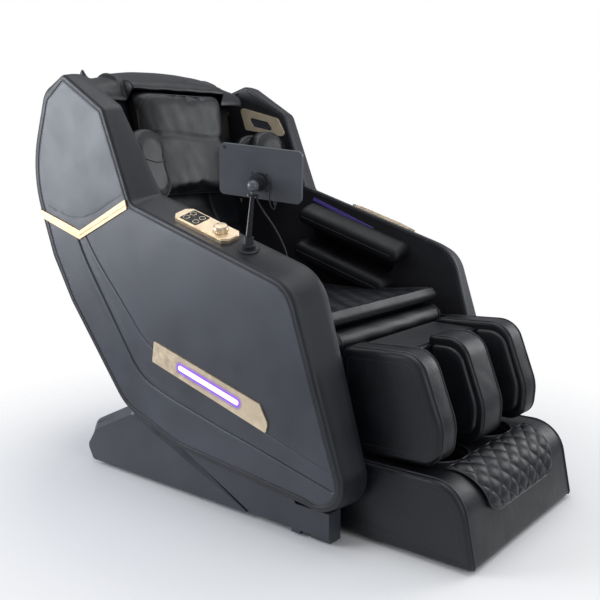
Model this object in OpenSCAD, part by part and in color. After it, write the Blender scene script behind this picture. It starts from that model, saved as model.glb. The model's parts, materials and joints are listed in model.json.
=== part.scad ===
// Massage chair: a tilting capsule of two side shells, seat and back on a low
// floor base, with a lifting calf rest and a sliding foot rest.
// The front of the chair faces -Y and the seated person's left side is +X.

/* [Shell] */
// Width across the two side faces
shell_w = 760; // [700:1:820]
// Depth of the front band along the arms
arm_band_w = 90; // [84:1:100]
// Depth of the band at the top of the wings
wing_band_w = 60; // [54:1:70]
// Depth of the rear rim that carries the rear cover
rear_rim_w = 80; // [60:1:86]
// Depth of the thin lower edge that passes outside the base
low_rim_w = 28; // [24:1:30]
// Wall thickness of the side shells
shell_wall = 5; // [3:0.5:6]
// Height of the wing top
shell_top_z = 1066; // [1040:1:1090]
// Height where the wing meets the arm
arm_rear_z = 742; // [720:1:760]
// Height of the front end of the arm
arm_front_z = 587; // [570:1:600]
// Height of the lowest edge of the side shell
shell_low_z = 80; // [70:1:95]
// Rise of the arm top towards its inner edge
arm_crown = 24; // [16:1:30]
// Edge radius along the front band
band_edge_r = 10; // [6:1:12]
// Edge radius along the rear of the side face
rear_edge_r = 28; // [20:1:30]

/* [Liner] */
// Thickness of the inner side panels
liner_t = 4; // [3:0.5:6]
// Height of the forearm channel
channel_h = 62; // [50:1:70]
// Length of the forearm channel
channel_len = 300; // [240:5:320]
// Depth of the forearm channel into the arm
channel_depth = 70; // [50:1:74]

/* [Seat and back] */
// Half width of the seat cushion
seat_half_w = 246; // [225:1:248]
// Height of the seat at its front lip
seat_top_z = 505; // [495:1:520]
// Height of the seat pan
seat_pan_z = 428; // [415:1:432]
// Width of the raised middle of the back cushion
back_w = 430; // [380:5:450]
// Thickness of the back cushion
back_t = 36; // [28:1:40]
// Width of the head pillow
pillow_w = 350; // [300:5:370]
// Height of the head pillow
pillow_h = 292; // [260:2:300]
// Thickness of the head pillow
pillow_t = 66; // [50:1:72]

/* [Base] */
// Half width of the skirts and the fairing
base_half_w = 346; // [338:1:349]
// Length of the base rails
rail_len = 760; // [700:5:780]
// Height of the recline pivot
pivot_z = 255; // [250:1:262]
// Pivot pin diameter
pivot_d = 20; // [16:1:24]
// Transport wheel diameter
wheel_d = 64; // [50:1:66]
// Transport wheel width
wheel_w = 24; // [18:1:30]
// Height of the rubber feet
foot_h = 30; // [24:1:34]

/* [Leg rest] */
// Width of the calf rest
calf_w = 496; // [470:2:500]
// Width of the middle calf ridge
mid_ridge_w = 100; // [80:2:110]
// Width of each outer calf ridge
side_ridge_w = 76; // [64:1:84]
// Height of the calf rest
calf_h = 250; // [240:1:254]
// Width of the foot rest
foot_w = 540; // [500:2:550]
// Height of the foot rest
foot_block_h = 184; // [170:1:186]
// Width of a foot well
foot_well_w = 146; // [120:2:150]
// Diameter of the foot rest's guide rods
guide_d = 16; // [12:1:18]

/* [Massage mechanism] */
// Spacing of the two track rails
track_gap = 300; // [260:2:320]
// Diameter of a massage roller
roller_d = 46; // [36:1:48]
// Width of a massage roller
roller_w = 24; // [18:1:28]
// Travel of the massage carriage
carriage_travel = 200; // [150:5:210]

/* [Controls] */
// Length of the control panel
panel_len = 184; // [170:1:196]
// Width of the control panel
panel_w = 60; // [52:1:62]
// Thickness of the control panel
panel_t = 11; // [9:0.5:14]
// Button diameter
button_d = 13; // [10:0.5:14]
// Knob diameter
knob_d = 36; // [30:1:40]
// Tablet width
tablet_w = 208; // [190:1:230]
// Tablet height
tablet_h = 119; // [110:1:130]
// Tablet thickness
tablet_t = 9; // [7:0.5:11]
// Height of the tablet's ball joint above the arm
ball_rise = 144; // [120:1:160]

/* [Hidden] */

arc_step = 12;
round_fn = 48;
soft_gap = 0.3;
fit_gap = 0.06;
seat_touch = 0.2;
tube_wall = 3;

half_w = shell_w / 2;
arm_in_x = half_w - arm_band_w;
liner_in_x = arm_in_x - liner_t;
wing_in_x = half_w - wing_band_w;

// ---- points and outlines ----
// An outline is a clockwise list of corners [y, z, radius, ...] seen from +X.
// Its arcs become points [y, z, normal y, normal z, ...].
function unit(v) = v / norm(v);
function turn(a, b) = a[0] * b[1] - a[1] * b[0];
function flat(c) = [c[0], c[1]];
function extras(c) = [for (i = [3 : 1 : len(c) - 1]) c[i]];
function corner_arc(p, c, s) =
    let (q = flat(c), r = c[2])
    let (a = unit(flat(p) - q), b = unit(flat(s) - q))
    let (half = acos(a * b) / 2, centre = q + unit(a + b) * r / sin(half))
    let (start = q + a * r / tan(half) - centre)
    let (side = turn(-a, b) < 0 ? 1 : -1)
    let (sweep = (2 * half - 180) * side, n = max(1, ceil(abs(sweep) / arc_step)))
    [
        for (i = [0 : n])
            let (ang = atan2(start[1], start[0]) + sweep * i / n)
            let (u = [cos(ang), sin(ang)])
            concat(centre + r * u, side * u, extras(c))
    ];
function outline(cs) =
    let (n = len(cs))
    [for (i = [0 : n - 1]) each corner_arc(cs[(i + n - 1) % n], cs[i], cs[(i + 1) % n])];
// The same arcs along an open path, whose two ends keep plain normals
function path(cs) =
    let (n = len(cs), first = unit(flat(cs[1]) - flat(cs[0])))
    let (last = unit(flat(cs[n - 1]) - flat(cs[n - 2])))
    concat(
        [concat(flat(cs[0]), [-first[1], first[0]])],
        [for (i = [1 : n - 2]) each corner_arc(cs[i - 1], cs[i], cs[i + 1])],
        [concat(flat(cs[n - 1]), [-last[1], last[0]])]
    );
function inset(pts, d) = [for (p = pts) [p[0] - p[2] * d, p[1] - p[3] * d]];
function backwards(v) = [for (i = [len(v) - 1 : -1 : 0]) v[i]];
function strip(pts, t) = concat(inset(pts, 0), backwards(inset(pts, t)));
function mix(a, b, t) = a + (b - a) * t;
// The point a share t of the length along a list of points
function total(v, i = 0) = i < len(v) ? v[i] + total(v, i + 1) : 0;
function steps(pts) = [for (i = [1 : len(pts) - 1]) norm(flat(pts[i]) - flat(pts[i - 1]))];
function walk(pts, left, i = 0) =
    let (step = norm(flat(pts[i + 1]) - flat(pts[i])))
    left <= step || i == len(pts) - 2
        ? mix(pts[i], pts[i + 1], min(1, left / step))
        : walk(pts, left - step, i + 1);
function along(pts, t) = walk(pts, t * total(steps(pts)));

// One closed solid through a list of equal loops of points. With checker, each
// cell is split so that every second point can rise as the centre of a diamond.
module skin(loops, checker = false) {
    n = len(loops[0]);
    m = len(loops);
    sides = [
        for (k = [0 : m - 2], i = [0 : n - 1])
            let (a = k * n + i, b = k * n + (i + 1) % n, c = b + n, d = a + n)
            each checker && (k + i) % 2 == 0 ? [[a, b, d], [b, c, d]] : [[a, b, c], [a, c, d]]
    ];
    caps = [
        [for (i = [n - 1 : -1 : 0]) i],
        [for (i = [0 : n - 1]) (m - 1) * n + i]
    ];
    polyhedron(points = [for (l = loops) each l], faces = concat(sides, caps));
}
// Loops of an outline at each [x, inset, lift]
module loft(pts, sections) {
    skin([
        for (s = sections)
            [for (p = pts) [s[0], p[0] - p[2] * s[1], p[1] - p[3] * s[1] + s[2]]]
    ]);
}
// Sections of a soft solid from x0 to x1, rounded by r0 and r1 at its ends
function puffed(x0, x1, r0, r1) = concat(
    [for (a = [90 : -30 : 0]) [x0 + r0 * (1 - sin(a)), r0 * (1 - cos(a)), 0]],
    [for (a = [0 : 30 : 90]) [x1 - r1 * (1 - sin(a)), r1 * (1 - cos(a)), 0]]
);
// A 2-D shape in (y, z), drawn solid from x0 to x1
module along_x(x0, x1) {
    translate([x0, 0, 0]) rotate([90, 0, 90]) linear_extrude(x1 - x0) children();
}
module both_sides() {
    children();
    mirror([1, 0, 0]) children();
}
// A rod along X centred on (y, z)
module rod_x(x0, x1, y, z, d) {
    translate([x0, y, z]) rotate([0, 90, 0]) cylinder(h = x1 - x0, d = d, $fn = round_fn);
}
module box_at(x0, x1, y0, y1, z0, z1) {
    translate([x0, y0, z0]) cube([x1 - x0, y1 - y0, z1 - z0]);
}
// A box tube, hollow along one axis (0 = x, 1 = y)
module box_tube(x0, x1, y0, y1, z0, z1, axis) {
    t = tube_wall;
    difference() {
        box_at(x0, x1, y0, y1, z0, z1);
        if (axis == 0) box_at(x0 - 1, x1 + 1, y0 + t, y1 - t, z0 + t, z1 - t);
        if (axis == 1) box_at(x0 + t, x1 - t, y0 - 1, y1 + 1, z0 + t, z1 - t);
    }
}
module rounded_plate(w, h, r) {
    square([w - 2 * r, h], center = true);
    square([w, h - 2 * r], center = true);
    for (sx = [-1, 1], sy = [-1, 1])
        translate([sx * (w / 2 - r), sy * (h / 2 - r)]) circle(r, $fn = round_fn);
}

// ---- the capsule's side profile ----
// Corners [y, z, radius, band depth, crown, edge radius]
arm_rear = [243, arm_rear_z];
arm_front = [-266, arm_front_z];
knee = [338, shell_top_z - 91];
rear_round = shell_top_z - arm_rear_z - 24;
shell_corners = [
    [-435, shell_low_z, 70, arm_band_w, 8, band_edge_r],
    concat(arm_front, [90, arm_band_w, arm_crown, band_edge_r]),
    concat(arm_rear, [28, arm_band_w, arm_crown, band_edge_r]),
    concat(knee, [28, wing_band_w, 8, band_edge_r]),
    [492, shell_top_z, 28, wing_band_w, 4, band_edge_r],
    [592, shell_top_z - 34, 60, rear_rim_w, 0, rear_edge_r],
    [674, arm_rear_z + 68, rear_round, rear_rim_w, 0, rear_edge_r],
    [588, 575, 110, rear_rim_w, 0, rear_edge_r],
    [507, 462, 200, low_rim_w, 0, 14],
    [300, 205, 160, low_rim_w, 0, 14],
    [100, 137, 250, low_rim_w, 0, 14],
    [-300, shell_low_z + 15, 100, low_rim_w, 0, 14]
];
shell_pts = outline(shell_corners);
rim_round = 6;
function off(p, d) = [p[0] + p[2] * d, p[1] + p[3] * d];
function at_x(x, yz) = [x, yz[0], yz[1]];
function rim_x(p) = half_w - p[4];
shell_loops = concat(
    [for (a = [0, 45, 90])
        [for (p = shell_pts)
            at_x(half_w - shell_wall - p[6] * (1 - cos(a)) * 0.9,
                 off(p, -shell_wall - (p[6] - shell_wall) * (1 - sin(a))))]],
    [[for (p = shell_pts) at_x(rim_x(p), off(p, p[5] - rim_round - shell_wall))]],
    [[for (p = shell_pts) at_x(rim_x(p), off(p, p[5] - rim_round))]],
    [[for (p = shell_pts) at_x(rim_x(p) + rim_round, off(p, p[5]))]],
    [for (a = [0, 30, 60, 90])
        [for (p = shell_pts)
            at_x(half_w - p[6] * (1 - sin(a)) * 0.98, off(p, -p[6] * (1 - cos(a))))]]
);
module side_shell() {
    color([0.30, 0.31, 0.34]) skin(shell_loops);
}
module side_shell_left() {
    side_shell();
}
module side_shell_right() {
    mirror([1, 0, 0]) side_shell();
}

// ---- inner side panels with the forearm channel ----
arm_slope = atan2(arm_rear[1] - arm_front[1], arm_rear[0] - arm_front[0]);
channel_mid = [40, 588];
lower_cut_z = 300;
module arm_frame(dy, dz) {
    translate([channel_mid[0] + dy, channel_mid[1] + dz]) rotate(arm_slope) children();
}
module liner_outline(d) {
    polygon([for (p = shell_pts) off(p, p[5] - rim_round - d)]);
}
module channel_2d(grow) {
    arm_frame(0, 0) rounded_plate(channel_len + 2 * grow, channel_h + 2 * grow, channel_h / 2 + grow - 4);
}
module arm_panel_2d() {
    difference() {
        intersection() {
            liner_outline(1);
            polygon(concat(
                [[-500, 900], [200, 900], [230, arm_rear_z - 6], [634, arm_rear_z - 6]],
                [for (p = inset(cover_path, cover_t + 1)) if (p[1] < arm_rear_z - 6) p],
                [[0, lower_cut_z - 8], [-230, lower_cut_z], [-270, 110], [-500, 110]]
            ));
        }
        channel_2d(0);
    }
}
module wing_panel_2d() {
    intersection() {
        polygon([for (p = shell_pts) off(p, min(0, p[5] - 8) * 1.2 - 2.7)]);
        translate([0, arm_rear_z - 6]) square([800, 500]);
    }
}
module arm_liner() {
    web_y0 = 246;
    web_y1 = 600;
    color([0.13, 0.13, 0.15]) union() {
        along_x(liner_in_x, arm_in_x) arm_panel_2d();
        along_x(arm_in_x, arm_in_x + channel_depth) difference() {
            channel_2d(3);
            channel_2d(0);
        }
        along_x(arm_in_x + channel_depth, arm_in_x + channel_depth + 3) channel_2d(3);
        along_x(wing_in_x - liner_t, wing_in_x) wing_panel_2d();
        box_at(liner_in_x, wing_in_x, web_y0, web_y1, arm_rear_z - 6 - liner_t, arm_rear_z - 6);
        box_at(wing_in_x - liner_t, wing_in_x, web_y0, web_y1, arm_rear_z - 6 - liner_t, arm_rear_z);
    }
}
module arm_liner_left() {
    arm_liner();
}
module arm_liner_right() {
    mirror([1, 0, 0]) arm_liner();
}

// ---- arm and shoulder pads ----
// A soft bar along the arm, from the liner's face inwards
module arm_bar(dy, dz, len, h, depth) {
    bar = outline([
        [-len / 2, -h / 2, h * 0.46], [-len / 2, h / 2, h * 0.46],
        [len / 2, h / 2, h * 0.46], [len / 2, -h / 2, h * 0.46]
    ]);
    x1 = liner_in_x - soft_gap;
    translate([0, channel_mid[0] + dy, channel_mid[1] + dz])
        rotate([arm_slope, 0, 0])
            loft(bar, [
                [x1 - depth, h * 0.3, 0], [x1 - depth * 0.86, h * 0.12, 0],
                [x1 - depth * 0.55, 0, 0], [x1 - depth * 0.15, h * 0.03, 0], [x1, h * 0.1, 0]
            ]);
}
arm_bar_len = channel_len + 60;
arm_bar_h = 38;
arm_bar_depth = 36;
bar_offset = channel_h / 2 + arm_bar_h / 2 + 3;
module upper_arm_pads() {
    color([0.27, 0.27, 0.29]) both_sides()
        arm_bar(-bar_offset * sin(arm_slope), bar_offset * cos(arm_slope), arm_bar_len, arm_bar_h, arm_bar_depth);
}
module lower_arm_pads() {
    color([0.22, 0.22, 0.24]) both_sides()
        arm_bar(bar_offset * sin(arm_slope), -bar_offset * cos(arm_slope), arm_bar_len - 30, arm_bar_h + 6, arm_bar_depth);
}
// A rounded shoulder pad: an upright oval, flat against its mount and crowned
module shoulder_pad(w, h, t) {
    oval = outline([
        [0, 0, w * 0.35], [0, h, w * 0.5], [w, h * 0.94, w * 0.45], [w, 0, w * 0.4]
    ]);
    // drawn in (x, z) and crowned along y
    skin([
        for (s = [[0, 0.22], [0.12, 0.07], [0.4, 0], [0.75, 0.04], [0.94, 0.16], [1, 0.34]])
            [for (p = backwards(oval)) [p[0] - p[2] * s[1] * t, t * s[0], p[1] - p[3] * s[1] * t]]
    ]);
}
pad_t = 40;
pad_gap = 3;
module shoulder_pads_front() {
    color([0.16, 0.17, 0.20]) both_sides()
        translate([wing_in_x - liner_t - 7.52, 290, 743]) rotate([-14, 0, -8])
            mirror([1, 0, 0]) shoulder_pad(98, 195, pad_t);
}
module shoulder_pads_rear() {
    color([0.14, 0.15, 0.18]) both_sides()
        translate([wing_in_x - liner_t - 6.66, 290 + pad_t + pad_gap, 743]) rotate([-14, 0, -8])
            mirror([1, 0, 0]) shoulder_pad(132, 186, pad_t);
}

// ---- gold trims, lights and speakers ----
trim_t = 3;
v_low = [447, 662];
v_front = [262, 750];
v_rear = [618, 711];
v_strip_h = 23;
module v_strip_2d(h) {
    polygon([
        v_rear, v_low, v_front,
        v_front - [4, h], v_low - [-4, h], v_rear - [6, h]
    ]);
}
module v_strips() {
    color([0.93, 0.82, 0.62]) both_sides() {
        along_x(half_w, half_w + trim_t) v_strip_2d(v_strip_h);
        along_x(half_w + trim_t, half_w + trim_t + 1.5) v_strip_2d(v_strip_h * 0.55);
    }
}
ornament_rear = [170, 404];
ornament_len = 352;
ornament_h = 54;
ornament_slope = 15.4;
bar_len = 206;
bar_h = 14;
module ornament_2d() {
    polygon(inset(outline([
        [-6, -ornament_h, 3], [0, 0, 3], [-ornament_len - 8, 0, 3],
        [-ornament_len - 42, -34, 16], [-ornament_len - 42, -ornament_h - 4, 4]
    ]), 0));
}
module bar_2d(clear) {
    translate([-96 - bar_len / 2, -28]) rounded_plate(bar_len + 2 * clear, bar_h + 2 * clear, bar_h / 2 + clear - 0.5);
}
module on_ornament() {
    translate(ornament_rear) rotate(ornament_slope) children();
}
module side_ornaments() {
    color([0.90, 0.78, 0.58]) both_sides() along_x(half_w, half_w + trim_t + 1) on_ornament() difference() {
        ornament_2d();
        bar_2d(0.3);
    }
}
arm_light_len = 230;
arm_light_h = 9;
module light_bars() {
    color([0.55, 0.40, 1.0]) both_sides() {
        along_x(half_w, half_w + trim_t + 1.5) on_ornament() bar_2d(0);
        along_x(liner_in_x - 3, liner_in_x) translate([78, 684]) rotate(arm_slope + 3)
            square([arm_light_len, arm_light_h], center = true);
    }
}
speaker_pts = [[512, 1004, 10], [486, 932, 10], [316, 908, 10], [352, 966, 22]];
grille_pts = [[474, 972, 6], [452, 942, 6], [366, 925, 6], [392, 955, 6]];
module speaker_trims() {
    color([0.90, 0.78, 0.58]) both_sides() along_x(wing_in_x - liner_t - 4, wing_in_x - liner_t) difference() {
        polygon(inset(outline(speaker_pts), 0));
        polygon(inset(outline(grille_pts), 0));
    }
}
hole_pitch = 9;
module speaker_grilles() {
    color([0.55, 0.50, 0.42]) both_sides() along_x(wing_in_x - liner_t - 2, wing_in_x - liner_t) difference() {
        polygon(inset(outline(grille_pts), 0.3));
        for (i = [-4 : 4], j = [-1 : 1])
            translate([421 + i * hole_pitch, 949 + j * hole_pitch + i * 2.2]) circle(d = 5, $fn = 16);
    }
}
module waist_trims() {
    color([0.90, 0.78, 0.58]) both_sides() along_x(liner_in_x - 4, liner_in_x)
        polygon(inset(outline([[510, 624, 5], [480, 714, 4], [556, 712, 4], [522, 624, 5]]), 0));
}

// ---- places on the sloping arm top ----
crown_tilt = atan2(arm_crown, arm_band_w - band_edge_r - rim_round);
arm_mid_x = half_w - arm_band_w / 2 - 4;
function arm_z(y) = arm_rear[1] + (y - arm_rear[0]) * tan(arm_slope);
function arm_lift(x) = (half_w - band_edge_r - x) * tan(crown_tilt);
module on_arm(side, x, y) {
    translate([side * x, y, arm_z(y)]) rotate([arm_slope, 0, 0])
        translate([0, 0, arm_lift(x)]) rotate([0, side * crown_tilt, 0]) translate([0, 0, seat_touch]) children();
}
panel_y = 34;
panel_x = arm_mid_x;
knob_y = -48;
button_rows = [26, 58];
button_x = 11;
button_travel = 1;
module panel_2d(d) {
    w = panel_w / 2 - d;
    l = panel_len / 2 - d;
    c = 14;
    polygon([[-w, -l + c], [-w, l - c], [-w + c, l], [w - c, l], [w, l - c], [w, -l + c], [w - c, -l], [-w + c, -l]]);
}
module control_panel() {
    color([0.92, 0.82, 0.64]) on_arm(-1, panel_x, panel_y) difference() {
        union() {
            linear_extrude(panel_t - 2) panel_2d(0);
            translate([0, 0, panel_t - 2]) linear_extrude(2) panel_2d(2.5);
        }
        for (x = [-button_x, button_x], y = button_rows)
            translate([x, y, panel_t - 6]) cylinder(h = 10, d = button_d + 2 * fit_gap, $fn = round_fn);
        translate([0, knob_y, panel_t - 8]) cylinder(h = 20, d = 10 + 2 * fit_gap, $fn = round_fn);
    }
}
module button(col, x, y) {
    color(col) on_arm(-1, panel_x, panel_y) translate([x, y, panel_t - 6 + button_travel]) {
        cylinder(h = 6, d = button_d, $fn = round_fn);
        translate([0, 0, 6]) cylinder(h = 0.8, d1 = button_d, d2 = button_d - 2, $fn = round_fn);
    }
}
module button_power() {
    button([0.45, 0.12, 0.10], -button_x, button_rows[1]);
}
module button_pause() {
    button([0.10, 0.10, 0.11], button_x, button_rows[1]);
}
module button_auto() {
    button([0.10, 0.10, 0.11], -button_x, button_rows[0]);
}
module button_air() {
    button([0.10, 0.10, 0.11], button_x, button_rows[0]);
}
knob_h = 15;
module control_knob() {
    color([0.95, 0.86, 0.70]) on_arm(-1, panel_x, panel_y) translate([0, knob_y, panel_t + 0.4]) {
        translate([0, 0, -8]) cylinder(h = 9, d = 10, $fn = round_fn);
        rotate_extrude($fn = round_fn) polygon([
            [0, 0], [knob_d / 2, 0], [knob_d / 2, knob_h * 0.55], [knob_d / 2 - 1.5, knob_h * 0.8],
            [knob_d / 2 - 4, knob_h * 0.95], [knob_d / 4, knob_h], [0, knob_h * 1.04]
        ]);
    }
}
plate_len = 216;
plate_w = 52;
plate_t = 9;
module palm_plate() {
    color([0.80, 0.70, 0.52]) on_arm(1, panel_x, -22) difference() {
        union() {
            linear_extrude(plate_t - 2) polygon([
                [-plate_w / 2, -plate_len / 2 + 10], [-plate_w / 2, plate_len / 2 - 30],
                [plate_w / 2 - 22, plate_len / 2], [plate_w / 2, plate_len / 2],
                [plate_w / 2, -plate_len / 2], [-plate_w / 2 + 12, -plate_len / 2]
            ]);
            translate([0, -6, plate_t - 2]) linear_extrude(2) square([plate_w - 12, plate_len - 70], center = true);
        }
        for (i = [-2 : 2])
            translate([-plate_w / 2 + 10, -6 + i * 26 - 6, plate_t - 1]) cube([plate_w - 20, 12, 3]);
    }
}

// ---- tablet stand and its lead ----
stand_x = half_w - 48;
stand_y = -100;
stand_z = arm_z(stand_y) + arm_lift(stand_x) / cos(arm_slope);
stem_lean = 7.5;
// A point in the stem's own frame, which leans forward from the stand's foot
function stem_point(x, y, z) = [
    -stand_x + x,
    stand_y + y * cos(stem_lean) - z * sin(stem_lean),
    stand_z + y * sin(stem_lean) + z * cos(stem_lean)
];
module on_stem(z) {
    translate(stem_point(0, 0, z)) rotate([stem_lean, 0, 0]) children();
}
ball_d = 27;
stem_d = 15;
module stand_base() {
    color([0.06, 0.06, 0.07]) difference() {
        union() {
            on_arm(-1, stand_x, stand_y) {
                cylinder(h = 3.5, d = 52, $fn = round_fn);
                translate([0, 0, 3.5]) cylinder(h = 2.5, d1 = 52, d2 = 44, $fn = round_fn);
                cylinder(h = 14, d = 32, $fn = round_fn);
            }
            on_stem(6) cylinder(h = 22, d = 24, $fn = round_fn);
        }
        on_stem(10) cylinder(h = 40, d = stem_d + 2 * fit_gap, $fn = round_fn);
    }
}
collar_rise = ball_rise - 22;
stem_foot = 10.2;
module stand_stem() {
    color([0.30, 0.31, 0.33]) on_stem(0) {
        translate([0, 0, stem_foot]) cylinder(h = 22, d = stem_d, $fn = round_fn);
        translate([0, 0, stem_foot + 22])
            cylinder(h = collar_rise - stem_foot - 22, d1 = stem_d, d2 = 10, $fn = round_fn);
        translate([0, 0, collar_rise]) cylinder(h = 3, d = 28, $fn = round_fn);
        translate([0, 0, collar_rise + 3]) cylinder(h = 9, d = 8, $fn = round_fn);
        translate([0, 0, ball_rise]) sphere(d = ball_d, $fn = round_fn);
    }
}
// How the tablet is leaned back, rolled and turned towards the sitter
tablet_turn = [10, 6, -75];
tablet_back = 30;
// Centre of the tablet from the ball, across and up
tablet_mid = [1, 22.5];
// The ball's frame, turned so that +Y points through the tablet to the sitter
module at_ball() {
    translate(stem_point(0, 0, ball_rise)) rotate(tablet_turn) children();
}
clamp_d = 42;
clamp_mid = [0, 3];
module tablet_clamp() {
    socket_d = ball_d + 0.2;
    color([0.05, 0.05, 0.06]) at_ball() difference() {
        union() {
            rotate([-90, 0, 0]) translate([0, 0, 9]) cylinder(h = 14, d1 = 26, d2 = 30, $fn = round_fn);
            translate([clamp_mid[0], 0, clamp_mid[1]]) rotate([-90, 0, 0]) translate([0, 0, 21])
                cylinder(h = tablet_back - 21 - seat_touch, d = clamp_d, $fn = round_fn);
        }
        sphere(d = socket_d, $fn = round_fn);
    }
}
module tablet_body() {
    color([0.32, 0.33, 0.36]) at_ball() translate([tablet_mid[0], tablet_back, tablet_mid[1]])
        rotate([-90, 0, 0]) difference() {
        linear_extrude(tablet_t) rounded_plate(tablet_w, tablet_h, 12);
        translate([0, 0, tablet_t - 1.5]) linear_extrude(3) rounded_plate(tablet_w - 8, tablet_h - 8, 9);
    }
}
module tablet_screen() {
    color([0.03, 0.03, 0.04]) at_ball() translate([tablet_mid[0], tablet_back + tablet_t - 1.5, tablet_mid[1]])
        rotate([-90, 0, 0]) linear_extrude(1.4) rounded_plate(tablet_w - 8.4, tablet_h - 8.4, 8.8);
}

// A tube of ring points swept along a list of route points
function route_at(r, t) =
    let (n = len(r) - 1, f = t * n, i = min(floor(f), n - 1), u = f - i)
    let (p0 = r[max(i - 1, 0)], p1 = r[i], p2 = r[i + 1], p3 = r[min(i + 2, n)])
    0.5 * (2 * p1 + (p2 - p0) * u + (2 * p0 - 5 * p1 + 4 * p2 - p3) * u * u
        + (3 * p1 - p0 - 3 * p2 + p3) * u * u * u);
module tube_along(r, d, rings, sides = 8) {
    pts = [for (i = [0 : rings]) route_at(r, i / rings)];
    dirs = [for (i = [0 : rings])
        i == 0 ? unit(r[1] - r[0]) : i == rings ? unit(r[len(r) - 1] - r[len(r) - 2]) : unit(pts[i + 1] - pts[i - 1])];
    skin([
        for (i = [0 : rings])
            let (w = dirs[i], a = unit(cross(w, abs(w[1]) < 0.8 ? [0, 1, 0] : [1, 0, 0])), b = cross(w, a))
            [for (k = [0 : sides - 1]) pts[i] + d / 2 * (a * cos(-360 * k / sides) + b * sin(-360 * k / sides))]
    ]);
}
lead_d = 4;
grommet_at = [-liner_in_x, -163, 612];
lead_route = [
    [-278, -163, 612], [-272, -163, 613], [-266, -162, 620], [-265, -160, 634],
    [-270, -154, 658], [-287, -143, 697], [-306, -131, 730], [-318.5, -126, 750],
    stem_point(7, -9.5, ball_rise - 31), stem_point(7, -9.5, collar_rise - seat_touch)
];
module lead_grommet() {
    color([0.05, 0.05, 0.05]) translate(grommet_at) rotate([0, 90, 0]) {
        cylinder(h = 3, d = 15, $fn = round_fn);
        translate([0, 0, 3]) cylinder(h = 3, d = 9, $fn = round_fn);
    }
}
module tablet_lead() {
    color([0.10, 0.10, 0.11]) tube_along(lead_route, lead_d, 30);
}
// The short lead from the clamp round the tablet's lower edge, in the ball's frame
plug_at = [39, tablet_back + tablet_t / 2, tablet_mid[1] - tablet_h / 2 - 8];
plug_route = [
    [21.2, 26, 6], [25.5, 26, 6], [29, 25.5, 1], [29, 24.5, -12], [28.5, 24, -24], [29.5, 24, -36],
    [32.5, 27, -50], [36.5, 33, -58], plug_at - [0, 0, 6], plug_at - [0, 0, 0.2]
];
module plug_lead() {
    color([0.10, 0.10, 0.11]) at_ball() tube_along(plug_route, 3, 24);
}
module lead_plug() {
    color([0.07, 0.07, 0.08]) at_ball() translate(plug_at)
        cylinder(h = 8 - seat_touch, d = 7, $fn = round_fn);
}

// ---- the capsule's rear cover ----
cover_t = 4;
cover_half = half_w - rear_rim_w - soft_gap;
cover_path = path([
    [556, shell_top_z - 26], [592, shell_top_z - 36, 40], [672, arm_rear_z + 68, rear_round],
    [586, 572, 40], [300, 415, 80], [105, 335]
]);
module rear_cover() {
    color([0.12, 0.12, 0.14]) along_x(-cover_half, cover_half) polygon(strip(cover_path, cover_t));
}

// ---- seat cushion, roll and frame ----
quilt_low = 5;
seat_cols = 16;
seat_rows = 20;
seat_y = [-262, 352];
function seat_height(y) =
    y < 60 ? mix(seat_top_z, seat_top_z - 27, sin(90 * (y - seat_y[0]) / (60 - seat_y[0])))
    : mix(seat_top_z - 27, seat_top_z + 25, pow((y - 60) / (seat_y[1] - 60), 2));
function seat_loop(x, drop, shrink, k) = concat(
    [[x, -266, 472 + drop * 0.4], [x, -271, 484], [x, -269, 496 - drop * 0.5]],
    [
        for (i = [0 : seat_rows])
            let (y = mix(seat_y[0] + shrink, seat_y[1] - shrink, i / seat_rows))
            [x, y, seat_height(y) - drop - ((i + k) % 2 == 1 ? quilt_low : 0)]
    ],
    [
        [x, 360 - shrink, 505], [x, 352, 478], [x, 300, 448], [x, 236, seat_pan_z + soft_gap],
        [x, -220, seat_pan_z + soft_gap], [x, -232, 466], [x, -258, 469]
    ]
);
module seat_cushion() {
    color([0.12, 0.12, 0.13]) skin(concat(
        [seat_loop(-seat_half_w, 14, 8, 0), seat_loop(-seat_half_w + 5, 5, 3, 0)],
        [
            for (k = [0 : seat_cols])
                seat_loop(mix(-seat_half_w + 14, seat_half_w - 14, k / seat_cols), 0, 0, k)
        ],
        [seat_loop(seat_half_w - 5, 5, 3, 0), seat_loop(seat_half_w, 14, 8, 0)]
    ), true);
}
hinge_y = -262;
hinge_z = 430;
hinge_rod_d = 18;
roll_d = 58;
roll_half = 236;
module seat_roll() {
    color([0.10, 0.10, 0.11]) difference() {
        union() {
            rod_x(-roll_half + 8, roll_half - 8, hinge_y, hinge_z, roll_d);
            for (s = [-1, 1]) translate([s * (roll_half - 8), hinge_y, hinge_z]) rotate([0, s * 90, 0])
                cylinder(h = 8, d1 = roll_d, d2 = roll_d - 10, $fn = round_fn);
        }
        rod_x(-roll_half - 1, roll_half + 1, hinge_y, hinge_z, hinge_rod_d + 1);
    }
}
tube_w = 30;
frame_x = [225, 255];
base_rail_x = [base_half_w - 65, base_half_w - 15];
upright_x = [base_rail_x[0] - 8, base_rail_x[0]];
lug_x = [upright_x[0] - 11, upright_x[0] - 3];
lift_pin_y = -150;
lift_pin_z = 350;
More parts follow.
